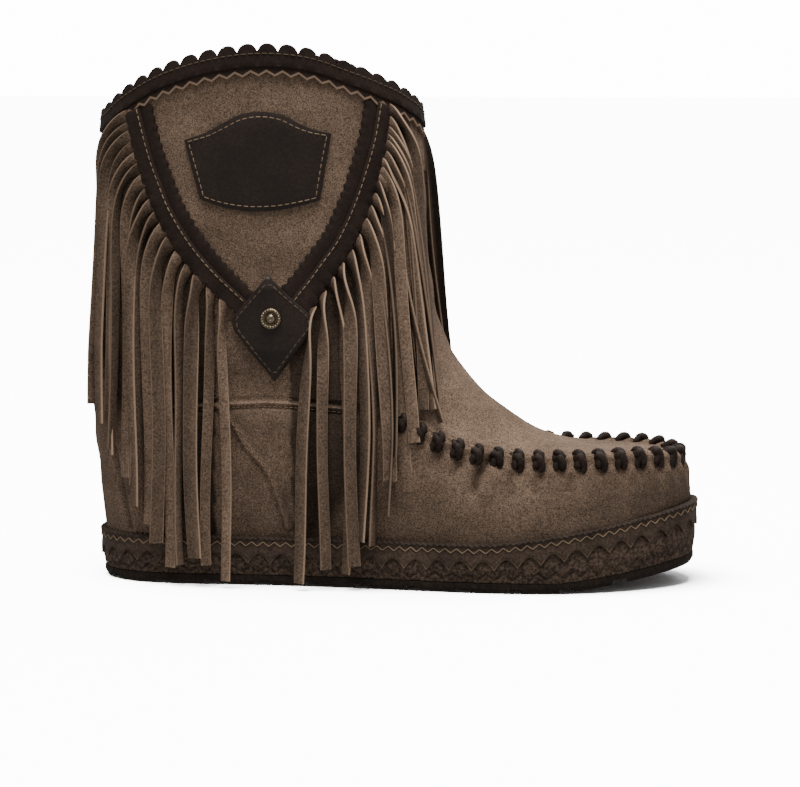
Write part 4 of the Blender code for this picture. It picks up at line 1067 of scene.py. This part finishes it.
def fringe(sizes, side, word):
    """Hanging strands: flat ribbons that leave the V square to it, bend over and hang.

    Each is a rounded rectangle swept down its path, twisted about it, cut off below.
    """
    random = np.random.default_rng(SEED + side)
    rows = 34
    body = Patches()
    plan = [(REAR_ARM[0] + (REAR_ARM[1] - REAR_ARM[0]) * s[0], -1, *s[1:]) for s in REAR_STRANDS]
    plan += [(FRONT_ARM[1] - (FRONT_ARM[1] - FRONT_ARM[0]) * s[0], 1, *s[1:])
             for s in FRONT_STRANDS]
    corner = sizes.strand_width / 2
    half = sizes.strand_thickness / 2
    profile = np.array([(-1, -0.6), (-1, 0.6), (-0.86, 1), (0, 1.15), (0.86, 1), (1, 0.6),
                        (1, -0.6), (0.86, -1), (0, -0.85), (-0.86, -1)])
    # cut faces lighter: cut suede, with one long edge much lighter than the other as painted highlight
    cut = np.array([1, 1, 0.1, 0, 0.0, 0.5, 0.3, 0, 0, 0.3])
    back = np.array([0, 0, 0, 0, 0, 0.3, 1, 1, 1, 1])
    for number, (at, arm, end, reach, twist, tint, forward) in enumerate(plan):
        turn, height = yoke_places(side, [at], [sizes.yoke_width / 2 - 0.0010])
        way = (reach + 0.0010 * random.normal()) * arm * -side
        path, outward, drops = strand_path(turn[0], height[0], end, way, rows, 0.0095)
        layer = 0.0006 + 0.0016 * (number % 3)
        fold = drops / 0.009 * np.exp(1 - drops / 0.009)
        clear = 0.0008 + layer * (1 - np.exp(-drops / 0.012)) + 0.0016 * fold
        path = path + outward * clear[:, None]
        along = np.cross((0, 0, 1.0), outward)
        sway = np.sin(drops / 0.026 + 6.28 * random.random()) + random.normal()
        sway = 0.0013 * sway * (drops / 0.1) ** 0.8
        path = path + along * sway[:, None]
        swing = 2.4 if forward > 0 else 0.8
        path[:, 0] += forward * (drops / drops[-1]) ** swing
        down = unit(np.gradient(path, axis=0))
        flat = unit(np.cross(down, outward))
        face = unit(np.cross(flat, down))
        turned = np.radians((twist + 14) * (1 if number % 2 else -1) + 8 * random.normal())
        angle = turned * (1 - np.exp(-drops / 0.040)) + 0.25 * np.sin(drops / 0.05)
        angle = angle + arm * side * sizes.strand_turn * fold * (1 + 0.2 * random.normal())
        width_way = flat * np.cos(angle)[:, None] + face * np.sin(angle)[:, None]
        thick_way = face * np.cos(angle)[:, None] - flat * np.sin(angle)[:, None]
        size = corner * (1 + 0.15 * random.normal())
        ring = width_way[:, None] * profile[:, :1] * size
        ring = ring + thick_way[:, None] * profile[:, 1:] * half
        grid = capped((path[:, None] + ring)[None])
        # painted shade: every third strand, each strand near its root and the front arm's strands are darker
        shade = tint + 0.15 * random.normal() - 0.7 * ((number + 1) % 3 == 0)
        shade = shade - 0.7 * np.exp(-drops / 0.012) - 0.4 * (arm > 0)
        shade = np.concatenate((shade[:1], shade, shade[-1:]))[None, :, None]
        # back faces darker: partly the strands' darker reverse side, partly painted shade in the gaps
        # between strands
        shade = shade - 1.5 * back
        # lighter cut edges and cut end, partly painted highlight
        edge = np.broadcast_to(cut, (1, rows + 2, len(cut))).copy()
        edge[:, -1:] = 1.0
        body.add(grid, wrap=True, tint=shade, edge=edge * 0.85)
    made = body.build(f"strands_{word}", [finish("fringe_suede")], "fringe_suede", sharp=50)
    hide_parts(f"fringe_{word}")


def patch(side, word):
    """Bare leather patch: a thin sheet between its two curved edges, stitched round."""
    part, count = np.linspace(0, 1, 41), 17
    knots = np.linspace(0, 1, len(PATCH_TOP))
    high = np.stack([smooth(knots, column(PATCH_TOP, axis), part) for axis in (0, 1)], axis=-1)
    low = np.stack([smooth(knots, column(PATCH_FOOT, axis), part) for axis in (0, 1)], axis=-1)

    def places(way, inset):
        """x and height between the edges, both drawn in by an inset at the rim."""
        flat = low[None] + (high - low)[None] * way[:, None, None]
        centre = np.array((-0.0565, 0.188))
        return flat + unit(centre - flat) * inset

    way = np.linspace(0, 1, count)
    flat = places(way, 0.0)
    turn = turn_at(flat[..., 0], flat[..., 1], side)
    body = Patches().add(lid(turn, flat[..., 1], 0.0004, 0.0013, puff=0.0010))
    made = body.build(f"patch_leather_{word}", [finish("dark_leather")], "dark_leather", sharp=40)
    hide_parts(f"shaft_patch_{word}")
    rim = places(way, 0.0022)
    loop = np.concatenate((rim[0], rim[1:, -1], rim[-1, -2::-1], rim[-2:0:-1, 0], rim[:1, 0]))
    turn = turn_at(loop[:, 0], loop[:, 1], side)
    line = shaft_point(turn, loop[:, 1], np.full(len(loop), 0.0020))
    row = stitch_row(line, shaft_normal(turn, loop[:, 1]), 0.0030, 0.0020, 0.00026)
    Patches().add(row, wrap=True).build(f"patch_stitches_{word}", [finish("thread")],
                                        "dark_leather")


def tab(side, word):
    """Pointed tab over the V's point, stitched round, standing off the strip under it."""
    rows = np.linspace(0, 1, 61)
    table = np.array(TAB_ROWS)
    knots = np.concatenate(([0], np.cumsum(np.linalg.norm(np.diff(table[:, [0, 2]], axis=0), axis=1))))
    knots = knots / knots[-1]
    height, middle, half = (np.interp(rows, knots, table[:, n]) for n in range(3))
    across = np.linspace(-1, 1, 21)

    def place(inset):
        width = np.maximum(half - inset, 0.0001)
        return middle[:, None] + width[:, None] * across

    x = place(0.0)
    level = np.broadcast_to(height[:, None], x.shape)
    turn = turn_at(x, level, side)
    lift = np.interp(level, (0.0923, 0.1010, 0.1060, 0.1330, 0.1384),
                     (0.0003, 0.0012, 0.0026, 0.0026, 0.0008))
    body = Patches().add(lid(turn, level, lift, 0.0018))
    made = body.build(f"tab_leather_{word}", [finish("dark_leather")], "dark_leather", sharp=40)
    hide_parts(f"yoke_tab_{word}")
    inset = 0.0021
    inner = (half > inset * 1.25) & (height > 0.0955) & (height < 0.1352)
    left = np.column_stack((middle - half + inset, height))[inner]
    right = np.column_stack((middle + half - inset, height))[inner]
    loop = np.concatenate((left, right[::-1], left[:1]))
    turn = turn_at(loop[:, 0], loop[:, 1], side)
    lift = np.interp(loop[:, 1], (0.0923, 0.1010, 0.1060, 0.1330, 0.1384),
                     (0.0003, 0.0012, 0.0026, 0.0026, 0.0008)) + 0.0018
    line = shaft_point(turn, loop[:, 1], lift)
    row = stitch_row(line, shaft_normal(turn, loop[:, 1]), 0.0030, 0.0020, 0.00026)
    Patches().add(row, wrap=True).build(f"tab_stitches_{word}", [finish("dull_thread")],
                                        "dark_leather")


def concho(sizes, side, word):
    """Round stud: a turned dish with a beaded rim round a dome with a dimple."""
    turn = turn_at([-0.0507], [0.1200], side)
    height = np.array([0.1200])
    seat = shaft_point(turn, height, np.array([0.0047]))[0]
    out = shaft_normal(turn, height)[0]
    aside = unit(np.cross((0, 0, 1.0), out))
    upward = np.cross(out, aside)
    radius = sizes.concho_diameter / 2
    profile = np.array(((0.00, 0.95), (0.05, 0.98), (0.09, 1.16), (0.16, 1.22), (0.28, 1.14),
                        (0.40, 0.92), (0.47, 0.55), (0.52, 0.36), (0.60, 0.36), (0.66, 0.55),
                        (0.72, 0.70), (0.93, 0.66), (1.00, 0.45), (1.00, 0.0)))
    angle = loop_turns(48)
    ring = aside * np.cos(angle)[:, None] + upward * np.sin(angle)[:, None]
    grid = seat + ring[None] * (profile[:, 0] * radius)[:, None, None]
    grid = grid + out * (profile[:, 1] * 0.0017)[:, None, None]
    dark = np.where((profile[:, 0] > 0.44) & (profile[:, 0] < 0.64), -0.9, 0.1)
    dark[:2] = -1.0
    body = Patches().add(grid, wrap=True, tint=np.repeat(dark[:, None], 48, axis=1)[None])
    beads = 20
    spots = loop_turns(beads)
    centres = seat + out * 0.0012
    centres = centres + (aside * np.cos(spots)[:, None] + upward * np.sin(spots)[:, None]) * radius * 0.83
    turns, falls = loop_turns(8), np.linspace(0, math.pi / 2 + 0.4, 5)
    ball = (aside * np.cos(turns)[:, None] + upward * np.sin(turns)[:, None])
    dome = ball[None] * np.sin(falls)[:, None, None] + out * np.cos(falls)[:, None, None]
    body.add(centres[:, None, None] + dome[None] * 0.00062, wrap=True, tint=0.3)
    made = body.build(f"stud_{word}", [finish("aged_metal")], "aged_metal", sharp=60)
    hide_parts(f"concho_{word}")


def lace(sizes):
    """Whipped lace: each stitch is two strands twisted round an arc over the seam's ridge."""
    start = math.acos(1 - 2 * sizes.lace_start)
    fine = np.linspace(start, 2 * math.pi - start, 601)
    levels = np.linspace(SEAM_SECTION - 3.0, SEAM_SECTION + 3.0, 121)
    profiles = plain_upper(fine, levels)
    seam = seam_line(fine)
    length = lengths_along(seam)
    count = int(length[-1] / sizes.lace_pitch)
    centres = (np.arange(count) + 0.5) * length[-1] / count
    part = np.linspace(-1, 1, 17)
    cross = part * (sizes.lace_down + sizes.lace_up) / 2 + (sizes.lace_up - sizes.lace_down) / 2
    arc = sizes.lace_thickness * 0.62 * (1 - np.abs(part) ** 3.2) - 0.0007
    arc = arc + SEAM_RIDGE * np.exp(-((cross / 0.0030) ** 2))
    paths, outs = np.empty((count, 17, 3)), np.empty((count, 17, 3))
    for number, centre in enumerate(centres):
        turn_here = np.interp(centre, length, fine)
        side = -1 if turn_here < math.pi else 1
        forward = share_of(turn_here)
        lean = sizes.lace_lean * np.clip((0.93 - forward) / 0.35, 0.12, 1) * -side
        spots = np.interp(centre + cross * lean, length, fine)
        columns = np.clip(np.searchsorted(fine, spots), 1, 600)
        for row, (j, over) in enumerate(zip(columns, cross)):
            line = profiles[:, j]
            risen = lengths_along(line)
            at = np.interp(SEAM_SECTION, levels, risen) + over
            paths[number, row] = [np.interp(at, risen, line[:, axis]) for axis in range(3)]
            outs[number, row] = unit(np.cross(seam[min(j + 1, 600)] - seam[j - 1],
                                              line[-1] - line[0]))
    paths = paths + outs * arc[:, None]
    along = unit(np.gradient(paths, axis=1))
    across = unit(np.cross(along, outs))
    body = Patches()
    random = np.random.default_rng(SEED)
    tints = random.normal(0.0, 0.15, count)
    twist = math.pi * (1.3 * (part + 1) / 2 - 0.1)
    for phase in (0.0, math.pi):
        offset = across * np.cos(twist + phase)[:, None] * sizes.lace_width * 0.24
        offset = offset + outs * np.sin(twist + phase)[:, None] * sizes.lace_thickness * 0.20
        radius = sizes.lace_width * 0.29 * (1 - 0.35 * np.abs(part) ** 4)
        tube = tubes(paths + offset, outs, radius[None, :], sides=9)
        body.add(capped(tube), wrap=True, tint=tints)
    made = body.build("lace_whipping", [finish("lace")], "dark_leather", sharp=70)
    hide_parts("apron_lace")


def sole_side(sizes):
    """Platform's skin, the rand over it with its cusped lower edge, and both threads.

    The midsole swells below the rand; a low zigzag of grooves runs round its foot.
    """
    columns = 1240
    turn, girth = even_turns(outline_point, columns)
    along = girth * np.arange(columns) / columns
    base = TREAD_HEIGHT + 0.0003

    def loop(inset, height_of):
        plan = outline_plan(turn, inset)
        return np.column_stack((plan, height_of(plan[:, 0])))

    def up(part):
        return lambda x: ground_line(x) + base + part * (sole_top(x) - ground_line(x) - base)

    saw = np.abs((along / sizes.zigzag_pitch) % 1 - 0.5) * 2
    shares = np.linspace(0, 1, 30)
    rows, tints = [], []
    for share in shares:
        swell = 0.0010 - 0.0012 * math.sin(math.pi * min(share / 0.8, 1))
        lined = np.exp(-(((share - 0.08 - 0.16 * saw) / 0.045) ** 2))
        rows.append(loop(np.full(columns, swell + 0.0006) + 0.0007 * lined, up(share)))
        # painted shade in the zigzag groove and painted highlight on the band just above it
        tints.append(0.1 - 0.55 * lined + 0.2 * np.exp(-(((share - 0.16 - 0.16 * saw) / 0.04) ** 2)))
    rows.append(loop(np.full(columns, 0.010), sole_top))
    tints.append(np.zeros(columns))
    rows.insert(0, loop(np.full(columns, 0.012), up(0.0)))
    tints.insert(0, np.zeros(columns))
    body = Patches().add(np.array(rows), wrap=True, tint=np.array(tints)[None])
    made = body.build("midsole_skin", [finish("crepe_rubber")], "crepe_rubber", sharp=60)
    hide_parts("midsole")
    arcs = round(girth / sizes.festoon_pitch)
    phase = (np.arange(columns) / columns * arcs) % 1 - 0.5
    cusp = (np.abs(phase) * 2) ** 1.7
    drop = sizes.rand_depth - sizes.festoon_depth * (1 - cusp)
    bumps = 0.00035 * np.sin(2 * math.pi * along / 0.0026)
    profile = ((1.0, -0.0003), (1.0, -0.0014), (0.97, -0.0016), (0.75, -0.0015), (0.5, -0.0014),
               (0.30, -0.0013), (0.16, -0.0016), (0.08, -0.0020), (0.0, -0.0014), (-0.03, 0.0004))
    rows = []
    for way, inset in profile:
        over = RAND_LIP + (bumps if way < 0.1 else 0.0)
        plan = outline_plan(turn, np.full(columns, inset + 0.0012))
        height = sole_top(plan[:, 0]) + over - drop * way
        rows.append(np.column_stack((plan, height)))
    plan = feather_line(turn)
    plan[:, 2] += 0.0006
    rows.append(plan)
    # painted shade under the upper's edge at the rand's top and along its lower edge
    shade = np.array([-0.3, -0.2, 0.1, 0.1, 0.0, 0.0, -0.5, -0.8, -0.9, -0.9, -0.9])
    body = Patches().add(np.array(rows), wrap=True, tint=np.repeat(shade[:, None], columns, 1)[None])
    made = body.build("rand_skin", [finish("rand_leather")], "dark_suede", sharp=50)
    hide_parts("rand")
    plan = outline_plan(turn, np.full(columns, -0.00035))
    outs = unit(np.column_stack((outline_plan(turn, -0.001) - outline_plan(turn, 0.0),
                                 np.zeros(columns))))
    zig = (np.abs((along / sizes.welt_zigzag_pitch) % 1 - 0.5) * 4 - 1) * sizes.welt_zigzag / 2
    line = np.column_stack((plan, sole_top(plan[:, 0]) - 0.0020 + zig))
    Patches().add(thread_line(line, outs, 0.00026), wrap=True).build(
        "welt_thread", [finish("thread")], "dark_suede")
    line = np.column_stack((plan, sole_top(plan[:, 0]) + RAND_LIP - drop + 0.0002))
    line[:, :2] -= outs[:, :2] * 0.0001
    # painted highlight on the thread at the cusps and painted shade along the arcs between them
    painted_cusp_light = 2.6 * np.pad(cusp, 1, mode="edge") ** 1.5 - 1.4
    Patches().add(thread_line(line, outs, 0.00024), wrap=True, tint=painted_cusp_light[None, :, None]).build(
        "festoon_thread", [finish("dull_thread")], "dark_suede")


def dress_frame():
    """Finishes of the frame's own solids that stay in view."""
    for node, name in (("outsole", "tread_rubber"), ("insole", "lining")):
        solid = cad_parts[node]
        solid.data.materials.clear()
        solid.data.materials.append(finish(name))


def area_light(name, place, target, size, power):
    light = bpy.data.lights.new(name, "AREA")
    light.shape, light.size, light.size_y, light.energy = "RECTANGLE", *size, power
    made = bpy.data.objects.new(name, light)
    bpy.context.scene.collection.objects.link(made)
    made.location = place
    made.rotation_euler = (Vector(target) - Vector(place)).to_track_quat("-Z", "Y").to_euler()


def stage(sizes):
    """Pale floor, pale surroundings, soft lights and the camera of the photograph."""
    half = 12.0
    mesh = bpy.data.meshes.new("floor")
    mesh.from_pydata([(-half, -half, 0), (half, -half, 0), (half, half, 0), (-half, half, 0)],
                     [], [(0, 1, 2, 3)])
    floor = bpy.data.objects.new("floor", mesh)
    bpy.context.scene.collection.objects.link(floor)
    material = bpy.data.materials.new("floor")
    material.use_nodes = True
    shader = material.node_tree.nodes["Principled BSDF"]
    shader.inputs["Base Color"].default_value = (0.93, 0.93, 0.93, 1)
    shader.inputs["Roughness"].default_value = 0.9
    shader.inputs["Specular IOR Level"].default_value = 0.1
    mesh.materials.append(material)
    floor.location.z = -0.0004
    floor.visible_diffuse = False
    floor.visible_glossy = False
    sun = bpy.data.lights.new("floor_light", "SUN")
    sun.energy, sun.angle = sizes.floor_light, math.radians(50)
    shining = bpy.data.objects.new("floor_light", sun)
    bpy.context.scene.collection.objects.link(shining)
    shining.rotation_euler = (math.radians(8), math.radians(-14), 0)
    receivers = bpy.data.collections.new("floor_only")
    receivers.objects.link(floor)
    shining.light_linking.receiver_collection = receivers
    world = bpy.data.worlds.new("studio")
    world.use_nodes = True
    tree = world.node_tree
    sky = tree.nodes["Background"]
    sky.inputs["Color"].default_value = (1, 1, 1, 1)
    seen = add(tree, "ShaderNodeLightPath")
    strength = add(tree, "ShaderNodeMapRange")
    strength.inputs[3].default_value, strength.inputs[4].default_value = sizes.ambient, sizes.sky
    tree.links.new(seen.outputs["Is Camera Ray"], strength.inputs[0])
    tree.links.new(strength.outputs[0], sky.inputs["Strength"])
    bpy.context.scene.world = world
    area_light("key", (0.1, -0.55, 1.7), (0, 0, 0.05), (0.9, 0.9), sizes.key_light)
    area_light("rear", (0.5, 1.0, 1.3), (0, 0, 0.1), (1.0, 1.0), sizes.rear_light)
    camera = bpy.data.cameras.new("camera")
    camera.lens, camera.sensor_width = 160.24, 36.0
    made = bpy.data.objects.new("camera", camera)
    bpy.context.scene.collection.objects.link(made)
    target = Vector((0.00122, 0.0, 0.0827))
    angle, distance = math.radians(6.0), 1.6
    made.location = (target.x + distance * math.sin(angle),
                     target.y - distance * math.cos(angle), 0.245)
    made.rotation_euler = (target - made.location).to_track_quat("-Z", "Y").to_euler()
    bpy.context.scene.camera = made


# Add-on


def length_property(name, default, description):
    return bpy.props.FloatProperty(
        name=name, default=default, description=description, unit="LENGTH", precision=5
    )


def colour_property(name, default, description):
    return bpy.props.FloatVectorProperty(
        name=name, default=default, description=description, subtype="COLOR", size=3
    )


class BootSizes(bpy.types.PropertyGroup):
    """Sizes of the boot's trimmings."""

    wall: length_property("Wall", 0.0024, "Thickness of the upper")
    lace_pitch: length_property("Lace pitch", 0.0089, "Distance between lace stitches")
    lace_width: length_property("Lace width", 0.0062, "Width of a lace stitch")
    lace_thickness: length_property("Lace thickness", 0.0026, "Thickness of the lace")
    lace_down: length_property("Lace below", 0.0052, "Reach of a stitch below the seam")
    lace_up: length_property("Lace above", 0.0040, "Reach of a stitch above the seam")
    lace_start: bpy.props.FloatProperty(
        name="Lace start", default=0.53, description="Share of the seam where the lace starts"
    )
    lace_lean: bpy.props.FloatProperty(
        name="Lace lean", default=0.5, description="Slant of the rear lace stitches"
    )
    scallop_pitch: length_property("Scallop pitch", 0.0089, "Distance between scallops")
    scallop_rise: length_property("Scallop rise", 0.0040, "Height of a scallop")
    band_depth: length_property("Band depth", 0.0063, "Depth of the collar band")
    pinking_pitch: length_property("Pinking pitch", 0.0068, "Distance between pinked teeth")
    pinking_drop: length_property("Pinking drop", 0.0042, "Reach of the pinked layer")
    pinking_depth: length_property("Pinking depth", 0.0020, "Depth of a pinked tooth")
    yoke_width: length_property("Yoke width", 0.0140, "Width of the V strip")
    yoke_outer: length_property("Yoke outer layer", 0.0082, "Width of its outer layer")
    yoke_pinking: length_property("Yoke pinking", 0.0042, "Distance between its teeth")
    strand_pitch: length_property("Strand pitch", 0.0055, "Distance between strands")
    strand_width: length_property("Strand width", 0.0052, "Width of a strand")
    strand_thickness: length_property("Strand thickness", 0.0012, "Thickness of a strand")
    strand_turn: bpy.props.FloatProperty(
        name="Strand turn", default=1.35, subtype="ANGLE", description="Turn where it bends"
    )
    concho_diameter: length_property("Stud diameter", 0.0093, "Diameter of the stud")
    zigzag_pitch: length_property("Zigzag pitch", 0.0077, "Pitch of the sole's low zigzag")
    festoon_pitch: length_property("Festoon pitch", 0.0102, "Pitch of the rand's arcs")
    festoon_depth: length_property("Festoon depth", 0.0043, "Depth of the rand's arcs")
    rand_depth: length_property("Rand depth", 0.0118, "Depth of the rand at its cusps")
    welt_zigzag: length_property("Welt stitch", 0.0020, "Height of the welt's zigzag thread")
    welt_zigzag_pitch: length_property("Welt pitch", 0.0052, "Pitch of that thread")
    ambient: bpy.props.FloatProperty(name="Ambient", default=0.62, description="Sky's light")
    sky: bpy.props.FloatProperty(name="Sky", default=14.5, description="Sky as seen")
    floor_light: bpy.props.FloatProperty(name="Floor", default=42.0, description="Floor's light")
    key_light: bpy.props.FloatProperty(name="Key", default=44.0, description="Key power, W")
    rear_light: bpy.props.FloatProperty(name="Rear", default=14.0, description="Rear power, W")


class BootColours(bpy.types.PropertyGroup):
    """Colours of the boot's materials."""

    suede: colour_property("Suede", (0.156, 0.105, 0.072), "Main suede")
    dark_leather: colour_property("Dark leather", (0.0185, 0.0115, 0.0085), "Trim")
    thread: colour_property("Thread", (0.20, 0.14, 0.09), "Light stitching")
    sole: colour_property("Sole", (0.056, 0.0375, 0.0265), "Crepe rubber")
    metal: colour_property("Metal", (0.22, 0.17, 0.115), "Stud")


class BootOperator:
    """Shared by the boot's operators."""

    bl_options = {"REGISTER", "UNDO"}

    @classmethod
    def poll(cls, context):
        return context.scene is not None


class BOOT_OT_materials(BootOperator, bpy.types.Operator):
    """Make every finish"""

    bl_idname = "boot.materials"
    bl_label = "Materials"

    def execute(self, context):
        make_materials(context.scene.boot_colours)
        dress_frame()
        return {"FINISHED"}


class BOOT_OT_upper(BootOperator, bpy.types.Operator):
    """Suede skin and lining of the upper"""

    bl_idname = "boot.upper"
    bl_label = "Upper"

    def execute(self, context):
        upper_skin(context.scene.boot_sizes)
        lining(context.scene.boot_sizes)
        seam_threads(-1, "lateral")
        seam_threads(1, "medial")
        return {"FINISHED"}


class BOOT_OT_collar(BootOperator, bpy.types.Operator):
    """Scalloped and pinked collar band"""

    bl_idname = "boot.collar"
    bl_label = "Collar"

    def execute(self, context):
        collar_band(context.scene.boot_sizes)
        return {"FINISHED"}


class BOOT_OT_yoke(BootOperator, bpy.types.Operator):
    """V strips, patches, tabs and studs"""

    bl_idname = "boot.yoke"
    bl_label = "Yoke"

    def execute(self, context):
        sizes = context.scene.boot_sizes
        for side, word in ((-1, "lateral"), (1, "medial")):
            yoke_strip(sizes, side, word)
            patch(side, word)
            tab(side, word)
            concho(sizes, side, word)
        return {"FINISHED"}


class BOOT_OT_fringe(BootOperator, bpy.types.Operator):
    """Hanging strands of both sides"""

    bl_idname = "boot.fringe"
    bl_label = "Fringe"

    def execute(self, context):
        for side, word in ((-1, "lateral"), (1, "medial")):
            fringe(context.scene.boot_sizes, side, word)
        return {"FINISHED"}


class BOOT_OT_lace(BootOperator, bpy.types.Operator):
    """Whipped lace over the apron seam"""

    bl_idname = "boot.lace"
    bl_label = "Lace"

    def execute(self, context):
        lace(context.scene.boot_sizes)
        return {"FINISHED"}


class BOOT_OT_sole(BootOperator, bpy.types.Operator):
    """Platform, rand and its threads"""

    bl_idname = "boot.sole"
    bl_label = "Sole"

    def execute(self, context):
        sole_side(context.scene.boot_sizes)
        return {"FINISHED"}


class BOOT_OT_stage(BootOperator, bpy.types.Operator):
    """Floor, lights and camera"""

    bl_idname = "boot.stage"
    bl_label = "Stage"

    def execute(self, context):
        stage(context.scene.boot_sizes)
        return {"FINISHED"}


OPERATORS = (
    BOOT_OT_materials,
    BOOT_OT_upper,
    BOOT_OT_collar,
    BOOT_OT_yoke,
    BOOT_OT_fringe,
    BOOT_OT_lace,
    BOOT_OT_sole,
    BOOT_OT_stage,
)


class BOOT_PT_panel(bpy.types.Panel):
    """Sizes, colours and the pieces' operators"""

    bl_label = "Fringe boot"
    bl_idname = "BOOT_PT_panel"
    bl_space_type = "VIEW_3D"
    bl_region_type = "UI"
    bl_category = "Boot"

    def draw(self, context):
        for group in (context.scene.boot_sizes, context.scene.boot_colours):
            for name in group.__annotations__:
                self.layout.prop(group, name)
        for operator in OPERATORS:
            self.layout.operator(operator.bl_idname)


CLASSES = (BootSizes, BootColours, *OPERATORS, BOOT_PT_panel)


def register():
    for item in CLASSES:
        bpy.utils.register_class(item)
    bpy.types.Scene.boot_sizes = bpy.props.PointerProperty(type=BootSizes)
    bpy.types.Scene.boot_colours = bpy.props.PointerProperty(type=BootColours)


def unregister():
    del bpy.types.Scene.boot_sizes
    del bpy.types.Scene.boot_colours
    for item in reversed(CLASSES):
        bpy.utils.unregister_class(item)


def main():
    register()
    bpy.ops.boot.materials()
    bpy.ops.boot.upper()
    bpy.ops.boot.collar()
    bpy.ops.boot.yoke()
    bpy.ops.boot.fringe()
    bpy.ops.boot.lace()
    bpy.ops.boot.sole()
    bpy.ops.boot.stage()
    bpy.context.view_layer.update()


if __name__ == "__main__":
    main()
